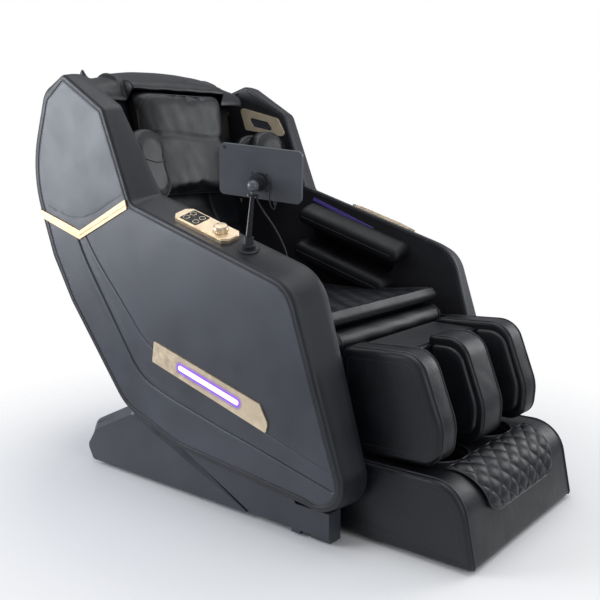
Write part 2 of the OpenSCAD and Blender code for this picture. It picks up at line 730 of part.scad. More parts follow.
// Washers on a clevis pin, from its plates to the sides of an actuator's eye
eye_half = 14;
module eye_washers(plate_x, y, z) {
    both_sides() rod_x(eye_half + soft_gap, plate_x, y, z, 26);
}
module seat_frame() {
    color([0.22, 0.22, 0.23]) difference() {
        union() {
            both_sides() {
                box_tube(frame_x[0], frame_x[1], -228, 160, 380, 425, 1);
                box_at(frame_x[1], lug_x[1], -45, 45, 385, 425);
                box_at(lug_x[0], lug_x[1], -45, 45, pivot_z - 20, 425);
                translate([lug_x[0], 0, pivot_z]) rotate([0, 90, 0])
                    cylinder(h = lug_x[1] - lug_x[0], d = 90, $fn = round_fn);
                for (y = [-150, 120]) box_tube(frame_x[1], liner_in_x - 0.1, y, y + tube_w, 385, 415, 0);
                // hinge plate beside the seat roll
                along_x(238, 246) difference() {
                    hull() {
                        translate([hinge_y, hinge_z]) circle(d = 30, $fn = 32);
                        translate([-225, 402]) circle(d = 40, $fn = 32);
                    }
                    translate([hinge_y, hinge_z]) circle(d = hinge_rod_d, $fn = round_fn);
                }
            }
            for (y = [-228, -20, 130]) box_tube(-frame_x[0], frame_x[0], y, y + tube_w, 385, 415, 0);
            box_at(-frame_x[1], frame_x[1], -232, 232, 425, seat_pan_z);
            // bracket and pin for the recline actuator's rod
            for (s = [-1, 1]) box_at(s * 23 - 3, s * 23 + 3, -176, -124, 334, 426);
            rod_x(-26, 26, lift_pin_y, lift_pin_z, 12);
            eye_washers(20, lift_pin_y, lift_pin_z);
            // hinge rod inside the seat roll
            rod_x(-258, 258, hinge_y, hinge_z, hinge_rod_d);
        }
        both_sides() rod_x(lug_x[0] - 1, lug_x[1] + 1, 0, pivot_z, pivot_d + 2 * fit_gap);
    }
}
module air_pump() {
    color([0.16, 0.16, 0.17]) {
        difference() {
            box_at(60, 200, -130, 20, 292, 372);
            for (i = [0 : 5]) box_at(70 + i * 22, 80 + i * 22, -131, -127, 305, 358);
        }
        box_at(100, 160, -18, 8, 372, 384.9);
        rod_x(200, 212, -90, 350, 10);
        rod_x(200, 212, -50, 350, 10);
    }
}

// ---- backrest ----
back_lean = 0.2;
back_rear_y = 491;
back_ref_z = 717;
back_low_z = 520;
back_angle = atan(back_lean);
function back_rear(z) = back_rear_y + back_lean * (z - back_ref_z);
function lumbar(z) = 52 * exp(-pow((z - 590) / 85, 2));
function back_front(z) = back_rear(z) - back_t - lumbar(z);
back_cols = [-1, -0.96, -0.86, -0.78, -0.74, -0.6, -0.3, 0, 0.3, 0.6, 0.74, 0.78, 0.86, 0.96, 1];
back_half = 282;
back_recess = 20;
function back_step(u) = abs(u) > back_w / 2 / back_half + 0.01 ? back_recess : 0;
function back_crown(u) = 6 * (1 - u * u);
function back_loop(z, thin, w) = concat(
    [for (u = [-1, 1]) [u * (back_half - w), back_rear(z) - soft_gap, z]],
    [
        for (i = [len(back_cols) - 1 : -1 : 0])
            let (u = back_cols[i], full = back_t - back_step(u) + back_crown(u) + lumbar(z) * (1 - u * u))
            [u * (back_half - w), back_rear(z) - soft_gap - max(6 + 3 * (1 - u * u), full - thin - (abs(u) > 0.98 ? 6 : 0)), z]
    ]
);
module back_cushion() {
    color([0.13, 0.13, 0.15]) skin([
        for (s = [[0, 18, 10], [8, 6, 3], [40, 0, 0], [70, 0, 0], [110, 0, 0], [118, 7, 0], [126, 0, 0],
                [200, 0, 0], [280, 0, 0], [400, 0, 0], [480, 0, 0], [508, 8, 4], [518, 22, 10]])
            back_loop(back_low_z + s[0], s[1], s[2])
    ]);
}
pillow_low = 735;
function pillow_loop(f, thin, w) =
    let (z = pillow_low + pillow_h * f, half = mix(pillow_w / 2 - 14, pillow_w / 2, f) - w)
    let (rear = back_front(z) - back_crown(0) - soft_gap - 2.2)
    concat(
        [for (u = [-1, 1]) [u * (half - 8), rear, z]],
        [
            for (u = [1, 0.97, 0.85, 0.5, 0, -0.5, -0.85, -0.97, -1])
                [u * half, rear - max(10, (pillow_t - thin) * (1 - 0.62 * pow(abs(u), 12))) - 4 * (1 - u * u), z]
        ]
    );
module head_pillow() {
    color([0.14, 0.14, 0.16]) skin([
        for (s = [[0, 50, 20], [0.015, 26, 6], [0.06, 6, 0], [0.25, 0, 0], [0.5, 0, 0],
                [0.8, 0, 0], [0.93, 6, 0], [0.98, 24, 6], [1, 50, 20]])
            pillow_loop(s[0], s[1], s[2])
    ]);
}
hood_half = 290;
hood_t = 13;
hood_crest = 1096;
function hood_fall(x) = 33 * pow(abs(x) / 280, 2);
function hood_point(x, y, z) = [x, y, z - hood_fall(x)];
function hood_top(x) =
    let (dip = abs(x) > 185 ? 34 : 0, flick = abs(x + 250) < 6 ? 30 : 0)
    [
        [x, 452 + dip * 0.6, 1040 - dip], [x, 462 + dip * 0.5, 1056 - dip * 0.9],
        hood_point(x, 492, 1076), hood_point(x, 530, 1091), hood_point(x, 560, hood_crest),
        hood_point(x, 583, 1088 + flick), hood_point(x, 598, 1068 + flick * 0.2), [x, 604, 1036]
    ];
function hood_loop(x, thin) =
    let (top = hood_top(x), n = len(top))
    concat(
        [for (p = top) [x, p[1], p[2] - thin]],
        [
            for (i = [n - 1 : -1 : 0])
                let (a = top[max(i - 1, 0)], b = top[min(i + 1, n - 1)], d = unit([b[1] - a[1], b[2] - a[2]]))
                [x, top[i][1] + d[1] * (hood_t - thin), min(top[i][2], hood_point(x, 0, 1091)[2]) - d[0] * (hood_t - thin)]
        ]
    );
module top_cover() {
    xs = [-280, -258, -250, -242, -205, -186, -180, -120, -50, 20, 90, 150, 180, 186, 230, 280];
    color([0.16, 0.16, 0.17]) skin(concat(
        [hood_loop(-hood_half, 4)], [for (x = xs) hood_loop(x, 0)], [hood_loop(hood_half, 4)]
    ));
}

// ---- massage mechanism ----
rest_z = 668;
rail_in_x = track_gap / 2;
rail_low = -128;
rail_high = carriage_travel + 145;
rail_d = 40;
rail_wall = 3;
bar_d = 20;
module on_back(slide = 0) {
    translate([0, back_rear(rest_z), rest_z]) rotate([-back_angle, 0, 0]) translate([0, 0, slide]) children();
}
module massage_track() {
    color([0.35, 0.36, 0.38]) {
        on_back() both_sides() difference() {
            translate([rail_in_x - 9, 0.5, rail_low]) cube([15, rail_d - 0.5, rail_high - rail_low]);
            translate([rail_in_x - 10, 0.5 + rail_wall, rail_low - 1])
                cube([13, rail_d - 0.5 - 2 * rail_wall, rail_high - rail_low + 2]);
        }
        on_back() {
            for (z = [rail_low + 4, rail_high - 17])
                rod_x(-(z > 0 ? wing_in_x - liner_t : liner_in_x) + 0.3,
                    (z > 0 ? wing_in_x - liner_t : liner_in_x) - 0.3, 26, z, bar_d);
        }
        // standoffs that carry the rear cover
        both_sides() box_at(180, 220, 572, 603.8, shell_top_z - 94, shell_top_z - 82);
    }
}
shoe_h = rail_d - 0.5 - 2 * rail_wall - 0.12;
shaft_y = 52;
shaft_d = 14;
side_plate_x = [132, 138];
module massage_carriage() {
    color([0.45, 0.46, 0.48]) on_back() {
        both_sides() {
            difference() {
                box_at(side_plate_x[0], side_plate_x[1], 10, 74, -60, 60);
                rod_x(side_plate_x[0] - 1, side_plate_x[1] + 1, shaft_y, 0, shaft_d + 2 * fit_gap);
            }
            for (z = [-45, 45])
                box_at(side_plate_x[1], rail_in_x + 2.9, 0.5 + rail_wall + 0.06, 0.5 + rail_wall + 0.06 + shoe_h, z - 14, z + 14);
        }
        box_at(-side_plate_x[0], side_plate_x[0], 70, 74, -56, 56);
        box_at(-62, 62, 74, 88, -40, 34);
        for (s = [-1, 1]) translate([s * 34, 88, 0]) rotate([-90, 0, 0]) cylinder(h = 8, d = 30, $fn = round_fn);
    }
}
arm_x = 74;
arm_plate_t = 8;
roller_reach = 80;
roller_y = 32.5;
axle_d = 10;
module massage_arms() {
    color([0.55, 0.52, 0.46]) on_back() {
        rod_x(-side_plate_x[1] - 1, side_plate_x[1] + 1, shaft_y, 0, shaft_d);
        both_sides() along_x(arm_x - arm_plate_t / 2, arm_x + arm_plate_t / 2) difference() {
            union() {
                hull() {
                    translate([shaft_y, 0]) circle(d = 30, $fn = 32);
                    translate([roller_y, roller_reach]) circle(d = 20, $fn = 32);
                }
                hull() {
                    translate([shaft_y, 0]) circle(d = 30, $fn = 32);
                    translate([roller_y, -roller_reach]) circle(d = 20, $fn = 32);
                }
            }
            translate([shaft_y, 0]) circle(d = shaft_d, $fn = round_fn);
        }
        for (s = [-1, 1], z = [-roller_reach, roller_reach])
            rod_x(s * arm_x - 4 - (s < 0 ? roller_w + 5 : 0), s * arm_x + 4 + (s > 0 ? roller_w + 5 : 0), roller_y, z, axle_d);
    }
}
module massage_rollers() {
    color([0.75, 0.66, 0.48]) on_back() both_sides() for (z = [-roller_reach, roller_reach])
        translate([arm_x + arm_plate_t / 2 + 1, roller_y, z]) rotate([0, 90, 0]) rotate_extrude($fn = round_fn)
            polygon([
                [axle_d / 2 + 0.02, 0], [roller_d / 2 - 5, 0], [roller_d / 2 - 1.5, 2.5], [roller_d / 2, 7],
                [roller_d / 2, roller_w - 7], [roller_d / 2 - 1.5, roller_w - 2.5],
                [roller_d / 2 - 5, roller_w], [axle_d / 2 + 0.02, roller_w]
            ]);
}

// ---- floor base ----
rail_y = [-330, -330 + rail_len];
anchor_y = -240;
anchor_z = 95;
module base_frame() {
    color([0.10, 0.10, 0.11]) difference() {
        union() {
            both_sides() {
                box_tube(base_rail_x[0], base_rail_x[1], rail_y[0], rail_y[1], foot_h, 80, 1);
                box_at(upright_x[0], upright_x[1], -50, 50, foot_h, pivot_z);
                translate([upright_x[0], 0, pivot_z]) rotate([0, 90, 0])
                    cylinder(h = upright_x[1] - upright_x[0], d = 60, $fn = round_fn);
                // spacers that carry the skirts and the fairing
                for (y = [-260, -100]) box_at(base_rail_x[1], base_half_w - 8.1, y, y + 30, 45, 75);
                for (y = [150, 380]) box_at(base_rail_x[1], base_half_w - 12.1, y, y + 30, 45, 75);
                // wheel bracket plates
                for (x = [180, 216]) box_at(x, x + 4, 400, 464, 22, 60);
            }
            for (y = [-270, 0, 360]) box_tube(-base_rail_x[0], base_rail_x[0], y, y + 40, foot_h, 70, 0);
            // clevis for the recline actuator
            for (s = [-1, 1]) box_at(s * 27 - 3, s * 27 + 3, anchor_y - 20, anchor_y + 20, 68, anchor_z + 16);
            box_at(-30, 30, anchor_y - 20, anchor_y + 20, 68, 74);
            rod_x(-30, 30, anchor_y, anchor_z, 12);
            eye_washers(24, anchor_y, anchor_z);
        }
        both_sides() rod_x(upright_x[0] - 1, upright_x[1] + 1, 0, pivot_z, pivot_d);
        both_sides() rod_x(179, 221, 452, 35, axle_d + 2 * fit_gap);
    }
}
module base_pins() {
    color([0.62, 0.62, 0.64]) both_sides() {
        rod_x(lug_x[0] - 4, upright_x[1], 0, pivot_z, pivot_d);
        translate([upright_x[1], 0, pivot_z]) rotate([0, 90, 0]) cylinder(h = 4, d = 34, $fn = 6);
    }
}
fairing_pts = outline([
    [-110, 12, 3], [310, 206, 46], [486, 122, 44], [514, 54, 26], [482, 12, 14]
]);
fairing_wall = 6;
bevel = 26;
function fairing_loop(x, low) = [
    for (p = fairing_pts)
        let (f = min(1, max(0, (p[1] - 12) / 100)))
        [x, p[0] - low * p[2] * f, p[1] - low * max(0, p[3]) * f]
];
module rear_fairing() {
    inner = base_half_w - 12;
    color([0.27, 0.29, 0.32]) difference() {
        skin([
            for (s = [[-base_half_w, 1], [-base_half_w + bevel * 0.8, 0.06], [-base_half_w + bevel, 0],
                    [base_half_w - bevel, 0], [base_half_w - bevel * 0.8, 0.06], [base_half_w, 1]])
                fairing_loop(s[0], s[1] * bevel)
        ]);
        // hollow, open below and in front
        along_x(-inner, inner) polygon([
            [-200, -10], [-200, 300], [200, 300], [200, 100], [226, 118], [322, 192 - fairing_wall],
            [404, 148], [470, 118], [494, 66], [480, -10]
        ]);
        along_x(-inner, inner) polygon([[-200, -10], [-200, 300], [225, 300], [225, -10]]);
        // opening for the mains inlet
        box_at(-30, 30, 440, 560, 66, 100);
    }
}
module side_skirts() {
    post_y = [-345, -290];
    color([0.20, 0.21, 0.24]) both_sides() {
        along_x(base_half_w - 8, base_half_w - 2) polygon([
            [-345, 14], [-112, 14], [-36, 51], [120, 124], [200, 160], [262, 188],
            [262, 204], [100, 170], [-200, 146], [-250, 76], [-345, 76]
        ]);
        difference() {
            box_at(base_rail_x[1] - 31, base_half_w - 8, post_y[0], post_y[1], 4, 76);
            box_at(base_rail_x[1] - 41, base_rail_x[1] + 0.05, rail_y[0] - 0.05, post_y[1] + 1, 20, 90);
        }
        box_at(base_rail_x[1] - 3, base_half_w - 3, -262, -236, 5, 14);
    }
}
foot_x = (base_rail_x[0] + base_rail_x[1]) / 2;
foot_y = [-240, 380];
module base_feet() {
    color([0.04, 0.04, 0.04]) both_sides() for (y = foot_y) {
        translate([foot_x, y, 4]) cylinder(h = foot_h - 4, d = 40, $fn = round_fn);
        translate([foot_x, y, 0]) cylinder(h = 4, d1 = 34, d2 = 40, $fn = round_fn);
    }
}
box_y = [330, 450];
module power_box() {
    color([0.20, 0.20, 0.21]) {
        difference() {
            box_at(-110, 110, box_y[0], box_y[1], 70, 116);
            for (i = [0 : 7]) box_at(-80 + i * 20, -72 + i * 20, 345, 400, 112, 120);
        }
        // mains inlet and switch on the rear wall
        difference() {
            box_at(-26, 26, box_y[1], box_y[1] + 8, 72, 96);
            box_at(-20, 2, box_y[1] + 2, box_y[1] + 20, 75, 93);
        }
        box_at(8, 20, box_y[1] + 8, box_y[1] + 11, 77, 91);
    }
}
module transport_wheel(s) {
    color([0.08, 0.08, 0.08]) translate([s * 200, 452, 35]) rotate([0, 90, 0]) {
        rotate_extrude($fn = round_fn) polygon([
            [0, -wheel_w / 2], [wheel_d / 2 - 3, -wheel_w / 2], [wheel_d / 2, -wheel_w / 2 + 3],
            [wheel_d / 2, wheel_w / 2 - 3], [wheel_d / 2 - 3, wheel_w / 2], [0, wheel_w / 2]
        ]);
        translate([0, 0, -20]) cylinder(h = 40, d = axle_d, $fn = round_fn);
    }
}
module transport_wheel_left() {
    transport_wheel(1);
}
module transport_wheel_right() {
    transport_wheel(-1);
}

// ---- recline actuator ----
lift_dy = lift_pin_y - anchor_y;
lift_dz = lift_pin_z - anchor_z;
lift_len = norm([lift_dy, lift_dz]);
lift_angle = atan2(lift_dz, lift_dy);
eye_bore = 20;
actuator_d = 44;
rod_d = 20;
// The actuator's frame: local Z runs from the base pin to the capsule pin
module on_actuator() {
    translate([0, anchor_y, anchor_z]) rotate([lift_angle - 90, 0, 0]) children();
}
module eye(z) {
    translate([-eye_half, 0, z]) rotate([0, 90, 0]) cylinder(h = 2 * eye_half, d = 32, $fn = round_fn);
}
module recline_actuator() {
    color([0.16, 0.16, 0.17]) on_actuator() difference() {
        union() {
            eye(0);
            translate([0, 0, 8]) cylinder(h = 14, d = 24, $fn = round_fn);
            translate([0, 0, 20]) cylinder(h = 200, d = actuator_d, $fn = round_fn);
            translate([-17, 20, 24]) cube([34, 32, 74]);
        }
        rod_x(-30, 30, 0, 0, eye_bore);
        translate([0, 0, 32]) cylinder(h = 200, d = rod_d + 2 * fit_gap, $fn = round_fn);
    }
}
module recline_rod() {
    color([0.66, 0.67, 0.69]) on_actuator() difference() {
        union() {
            translate([0, 0, 40]) cylinder(h = lift_len - 40 - 11, d = rod_d, $fn = round_fn);
            eye(lift_len);
        }
        rod_x(-30, 30, 0, lift_len, eye_bore);
    }
}

// ---- calf rest ----
ridge_low = 196;
ridge_high = ridge_low + calf_h;
ridge_corners = [
    [-560, ridge_low + 9, 45], [-566, 290, 100], [-505, ridge_high, 60], [-302, ridge_high - 12, 22], [-302, ridge_low, 20]
];
mid_corners = [
    [-560, ridge_low + 9, 45], [-566, 290, 100], [-505, ridge_high, 60], [-416.3, ridge_high - 5, 8], [-416.3, ridge_low + 2, 8]
];
core_half = 171;
core_y = [-416, -302];
core_z = [202, 425];
core_wall = 5;
guide_x = 130;
guide_y = -350;
module calf_frame() {
    color([0.11, 0.11, 0.12]) difference() {
        union() {
            difference() {
                box_at(-core_half, core_half, core_y[0], core_y[1], core_z[0], core_z[1]);
                box_at(-core_half + core_wall, core_half - core_wall, core_y[0] + core_wall, core_y[1] - core_wall,
                    core_z[0] - 1, core_z[1] - core_wall);
            }
            box_at(-256, 256, core_y[1], core_y[1] + 40, 330, 370);
            both_sides() {
                box_at(250, 256, core_y[1], hinge_y + 14, 335, hinge_z);
                translate([250, hinge_y, hinge_z]) rotate([0, 90, 0]) cylinder(h = 6, d = 30, $fn = round_fn);
                translate([guide_x, guide_y, core_z[0]]) cylinder(h = 140, d = 26, $fn = round_fn);
                box_at(guide_x - 4, guide_x + 4, core_y[0] + 1, core_y[1] - 1, core_z[0] + 20, core_z[0] + 120);
            }
        }
        rod_x(-260, 260, hinge_y, hinge_z, hinge_rod_d + 2 * fit_gap);
        both_sides() translate([guide_x, guide_y, 150]) cylinder(h = 230, d = guide_d + 2 * fit_gap, $fn = round_fn);
    }
}
module calf_ridges() {
    outer = outline(ridge_corners);
    middle = outline(mid_corners);
    mid_half = mid_ridge_w / 2;
    color([0.17, 0.17, 0.19]) {
        both_sides() loft(outer, puffed(calf_w / 2 - side_ridge_w, calf_w / 2, 9, 12));
        loft(middle, puffed(-mid_half, mid_half, 7, 7));
    }
}
module calf_linings() {
    flap = outline([[-534, 236, 40], [-538, 300, 60], [-500, 404, 40], [-431, 408, 10], [-431, 222, 10]]);
    back_pad = outline([[-428, 206, 5], [-428, 424, 5], [-416.3, 424, 3], [-416.3, 206, 3]]);
    color([0.10, 0.10, 0.11]) both_sides() {
        loft(back_pad, [[mid_ridge_w / 2 + 1, 4, 0], [mid_ridge_w / 2 + 5, 0, 0], [core_half - 4, 0, 0], [core_half - 1, 4, 0]]);
        loft(flap, [[core_half - 14, 6, 0], [core_half - 10, 0, 0], [core_half - 2, 0, 0], [core_half + 0.7, 3, 0]]);
        loft(flap, [[mid_ridge_w / 2 + 0.3, 3, 0], [mid_ridge_w / 2 + 3, 0, 0],
            [mid_ridge_w / 2 + 10, 0, 0], [mid_ridge_w / 2 + 14, 6, 0]]);
    }
}

// ---- foot rest ----
foot_half = foot_w / 2;
foot_top = foot_block_h;
foot_pts = outline([[-662, 8, 8], [-624, foot_top + 6, 84], [-290, foot_top, 10], [-290, 8, 14]]);
well_x = 110;
well_y = -478;
well_r = foot_well_w / 2;
well_floor = 45;
module foot_block() {
    color([0.13, 0.14, 0.16]) difference() {
        loft(foot_pts, [
            [-foot_half, 9, 0], [-foot_half + 3, 3.5, 0], [-foot_half + 9, 0, 0],
            [foot_half - 9, 0, 0], [foot_half - 3, 3.5, 0], [foot_half, 9, 0]
        ]);
        both_sides() {
            translate([well_x, well_y, well_floor]) cylinder(h = 200, r = well_r, $fn = 64);
            translate([guide_x, guide_y, 60]) cylinder(h = 200, d = guide_d, $fn = round_fn);
        }
    }
}
module foot_rods() {
    color([0.66, 0.67, 0.69]) both_sides() translate([guide_x, guide_y, 60])
        cylinder(h = 345, d = guide_d, $fn = round_fn);
}
module foot_linings() {
    lip = 5;
    color([0.09, 0.09, 0.10]) both_sides() translate([well_x, well_y, well_floor]) {
        difference() {
            cylinder(h = foot_top - well_floor - 6, r = well_r - soft_gap, $fn = 64);
            translate([0, 0, 10]) cylinder(h = 200, r = well_r - 9, $fn = 64);
        }
        translate([0, 0, 10]) cylinder(h = lip, r = well_r - 20, $fn = 64);
    }
}
quilt_cols = 14;
quilt_rows = 8;
quilt_t = 9;
quilt_path = path([[-650, 99], [-625, foot_top + 7, 84], [-553, foot_top + 5.2]]);
quilt_half = [154, 198];
// A point of the quilt, in column i and row k, lifted off the foot rest
function quilt_point(i, k, lift) =
    let (t = k / quilt_rows, p = along(quilt_path, t))
    [mix(quilt_half[0], quilt_half[1], t) * mix(-1, 1, i / quilt_cols), p[0] + p[2] * lift, p[1] + p[3] * lift];
quilt_edge = 1.5;
function quilt_bow(i) = 1 - pow(2 * i / quilt_cols - 1, 2);
function quilt_lift(i, k) =
    k == 0 || k == quilt_rows || i == 0 || i == quilt_cols ? quilt_edge + quilt_bow(i)
    : (i + k) % 2 == 1 ? quilt_t - 4 : quilt_t;
module foot_quilt() {
    color([0.16, 0.16, 0.18]) skin([
        for (k = [0 : quilt_rows])
            concat(
                [for (i = [quilt_cols : -1 : 0]) quilt_point(i, k, quilt_lift(i, k))],
                [for (i = [0, quilt_cols]) quilt_point(i, k, soft_gap)]
            )
    ], true);
}

base_frame();
base_pins();
rear_fairing();
side_skirts();
base_feet();
power_box();
transport_wheel_left();
transport_wheel_right();
recline_actuator();
recline_rod();
seat_frame();
massage_track();
side_shell_left();
side_shell_right();
arm_liner_left();
arm_liner_right();
upper_arm_pads();
lower_arm_pads();
shoulder_pads_front();
shoulder_pads_rear();
v_strips();
side_ornaments();
light_bars();
speaker_trims();
speaker_grilles();
waist_trims();
control_panel();
palm_plate();
stand_base();
back_cushion();
head_pillow();
top_cover();
rear_cover();
seat_cushion();
seat_roll();
air_pump();
lead_grommet();
tablet_lead();
control_knob();
button_power();
button_pause();
button_auto();
button_air();
stand_stem();
tablet_clamp();
tablet_body();
tablet_screen();
plug_lead();
lead_plug();
massage_carriage();
massage_arms();
massage_rollers();
calf_frame();
calf_ridges();
calf_linings();
foot_block();
foot_rods();
foot_quilt();
foot_linings();
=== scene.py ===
# %% [markdown]
# # A massage chair in leather
# The steel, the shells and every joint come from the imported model. This lesson dresses
# them: leather over foam, sewn seams, two thin leads, gold trims and a lit strip.
# All sizes are in metres, and a helper turns millimetres into metres.

# %% Load the frame
import json
import math

import bmesh
import bpy
import numpy as np
from mathutils import Euler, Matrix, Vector
from mathutils.geometry import delaunay_2d_cdt


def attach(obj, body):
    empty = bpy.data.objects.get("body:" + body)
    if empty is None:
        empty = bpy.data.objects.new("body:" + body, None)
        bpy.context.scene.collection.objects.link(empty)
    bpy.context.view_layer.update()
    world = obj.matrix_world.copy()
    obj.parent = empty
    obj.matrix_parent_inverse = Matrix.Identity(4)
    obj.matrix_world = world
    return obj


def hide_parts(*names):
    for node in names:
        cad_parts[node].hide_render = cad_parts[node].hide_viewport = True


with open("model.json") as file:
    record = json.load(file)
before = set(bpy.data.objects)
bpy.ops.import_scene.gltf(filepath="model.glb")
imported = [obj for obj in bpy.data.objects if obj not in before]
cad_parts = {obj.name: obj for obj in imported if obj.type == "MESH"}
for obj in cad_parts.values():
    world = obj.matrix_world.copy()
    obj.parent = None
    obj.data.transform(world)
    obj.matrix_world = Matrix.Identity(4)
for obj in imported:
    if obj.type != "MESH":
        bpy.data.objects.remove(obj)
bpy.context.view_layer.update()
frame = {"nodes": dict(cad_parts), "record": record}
MM = 0.001
scene = bpy.context.scene

# %% [markdown]
# ## Camera, floor and light
# The chair is seen from its right front at sitting height, with a short telephoto lens.
# Plain soft boxes stand where a showroom has its windows, so that the black leather is
# drawn by its reflections.

# %% Camera and room
eye = bpy.data.cameras.new("eye")
eye.sensor_width = 36
eye.lens = 51.1
camera = bpy.data.objects.new("camera", eye)
camera.location = (-1.7706, -1.4021, 0.8824)
camera.rotation_euler = (math.radians(90 - 10.28), 0, math.radians(-51.39))
scene.collection.objects.link(camera)
scene.camera = camera
scene.view_settings.view_transform = "Standard"


def soft_box(name, place, aim, size, power, tint=(1, 1, 1)):
    lamp = bpy.data.lights.new(name, "AREA")
    lamp.shape = "RECTANGLE"
    lamp.size, lamp.size_y = size
    lamp.energy = power
    lamp.color = tint
    ob = bpy.data.objects.new(name, lamp)
    ob.location = place
    ob.rotation_euler = (Vector(aim) - Vector(place)).to_track_quat("-Z", "Y").to_euler()
    scene.collection.objects.link(ob)


soft_box("window_left", (-2.5, 3.0, 1.5), (-0.3, 0.4, 0.75), (2.6, 2.4), 120, (0.90, 0.94, 1))
soft_box("ceiling", (0.2, -0.2, 3.1), (0, 0, 0.4), (3.2, 2.6), 42)
soft_box("front_fill", (-0.8, -3.2, 1.3), (0, 0, 0.5), (2.4, 1.6), 16)
soft_box("right_window", (2.7, -1.6, 1.7), (0, 0, 0.5), (1.6, 1.8), 30, (0.96, 0.98, 1))

world = bpy.data.worlds.new("room")
scene.world = world
world.use_nodes = True
sky = world.node_tree
for n in list(sky.nodes):
    sky.nodes.remove(n)
rays = sky.nodes.new("ShaderNodeLightPath")
plain = sky.nodes.new("ShaderNodeBackground")
plain.inputs["Color"].default_value = (0.80, 0.83, 0.88, 1)
plain.inputs["Strength"].default_value = 0.42
white = sky.nodes.new("ShaderNodeBackground")
white.inputs["Color"].default_value = (1, 1, 1, 1)
white.inputs["Strength"].default_value = 1.0
choose = sky.nodes.new("ShaderNodeMixShader")
out = sky.nodes.new("ShaderNodeOutputWorld")
sky.links.new(rays.outputs["Is Camera Ray"], choose.inputs[0])
sky.links.new(plain.outputs[0], choose.inputs[1])
sky.links.new(white.outputs[0], choose.inputs[2])
sky.links.new(choose.outputs[0], out.inputs[0])

# %% [markdown]
# ## Materials
# Leather is a pressed grain of small cells, with broad creases, and its colour turns slightly paler towards sharp
# edges. Everything is mixed from noise in the object's own coordinates, so the grain has its real size on every piece.

# %% Material helpers
def begin(name, colour, rough, metal=0.0):
    m = bpy.data.materials.new(name)
    m.use_nodes = True
    tree = m.node_tree
    bsdf = tree.nodes["Principled BSDF"]
    bsdf.inputs["Base Color"].default_value = (*colour, 1)
    bsdf.inputs["Roughness"].default_value = rough
    bsdf.inputs["Metallic"].default_value = metal
    m.diffuse_color = (*colour, 1)
    return m, tree, bsdf


def node(tree, kind, **values):
    n = tree.nodes.new(kind)
    for key, value in values.items():
        key = key.replace("_", " ")
        if key in n.inputs:
            n.inputs[key].default_value = value
        else:
            setattr(n, key.replace(" ", "_"), value)
    return n


def place(tree, stretch=(1, 1, 1)):
    where = node(tree, "ShaderNodeTexCoord")
    if stretch == (1, 1, 1):
        return where.outputs["Object"]
    turn = node(tree, "ShaderNodeMapping")
    turn.inputs["Scale"].default_value = stretch
    tree.links.new(where.outputs["Object"], turn.inputs["Vector"])
    return turn.outputs["Vector"]


def noise(tree, at, scale, detail=3.0, rough=0.5):
    n = node(tree, "ShaderNodeTexNoise", Scale=scale, Detail=detail, Roughness=rough)
    tree.links.new(at, n.inputs["Vector"])
    return n.outputs["Fac"]


def spread(tree, fac, low, high, from_low=0.3, from_high=0.7):
    n = node(tree, "ShaderNodeMapRange")
    n.inputs["From Min"].default_value = from_low
    n.inputs["From Max"].default_value = from_high
    n.inputs["To Min"].default_value = low
    n.inputs["To Max"].default_value = high
    tree.links.new(fac, n.inputs["Value"])
    return n.outputs["Result"]


def tint(tree, fac, a, b):
    n = node(tree, "ShaderNodeMix", data_type="RGBA")
    n.inputs[6].default_value = (*a, 1)
    n.inputs[7].default_value = (*b, 1)
    tree.links.new(fac, n.inputs[0])
    return n.outputs[2]


def bumps(tree, bsdf, layers):
    """Stacks bump layers, each (height output, strength, distance in metres)."""
    last = None
    for height, strength, depth in layers:
        n = node(tree, "ShaderNodeBump", Strength=strength, Distance=depth)
        tree.links.new(height, n.inputs["Height"])
        if last:
            tree.links.new(last, n.inputs["Normal"])
        last = n.outputs["Normal"]
    tree.links.new(last, bsdf.inputs["Normal"])


def leather(name, colour, rough, grain=850, crease=0.35, coat=0.0, wave=0.0):
    m, tree, bsdf = begin(name, colour, rough)
    at = place(tree)
    patches = noise(tree, at, 7, 4)
    dark = tuple(c * 0.80 for c in colour)
    pale = tuple(c * 1.30 for c in colour)
    hide = tint(tree, spread(tree, patches, 0, 1), dark, pale)
    # The colour turns paler towards sharp edges, where Pointiness is high.
    edge = node(tree, "ShaderNodeNewGeometry").outputs["Pointiness"]
    pale_edges = node(tree, "ShaderNodeMix", data_type="RGBA")
    tree.links.new(spread(tree, edge, 0, 0.45, 0.52, 0.60), pale_edges.inputs[0])
    tree.links.new(hide, pale_edges.inputs[6])
    pale_edges.inputs[7].default_value = (*[min(1, c * 2.1 + 0.01) for c in colour], 1)
    tree.links.new(pale_edges.outputs[2], bsdf.inputs["Base Color"])
    tree.links.new(spread(tree, noise(tree, at, 14, 5), rough - 0.07, rough + 0.08), bsdf.inputs["Roughness"])
    cells = node(tree, "ShaderNodeTexVoronoi", feature="DISTANCE_TO_EDGE", Scale=grain)
    tree.links.new(at, cells.inputs["Vector"])
    layers = [
        (spread(tree, cells.outputs["Distance"], 0, 1, 0, 0.25), 0.22, 0.0003),
        (noise(tree, at, grain * 0.3, 4), 0.18, 0.0004),
        (noise(tree, place(tree, (1, 1, 0.6)), 38, 5, 0.6), crease, 0.0016),
    ]
    if wave:
        layers.append((noise(tree, at, 4.5, 2), wave, 0.006))
    bumps(tree, bsdf, layers)
    if coat:
        bsdf.inputs["Coat Weight"].default_value = coat
        bsdf.inputs["Coat Roughness"].default_value = 0.32
    return m


def plastic(name, colour, rough, grain=1400, depth=0.25):
    m, tree, bsdf = begin(name, colour, rough)
    at = place(tree)
    shade = tint(tree, spread(tree, noise(tree, at, 9, 4), 0, 1), tuple(c * 0.85 for c in colour), tuple(c * 1.2 for c in colour))
    tree.links.new(shade, bsdf.inputs["Base Color"])
    tree.links.new(spread(tree, noise(tree, at, 22, 4), rough - 0.05, rough + 0.07), bsdf.inputs["Roughness"])
    bumps(tree, bsdf, [(noise(tree, at, grain, 2), depth, 0.0002), (noise(tree, at, 12, 3), 0.05, 0.002)])
    return m


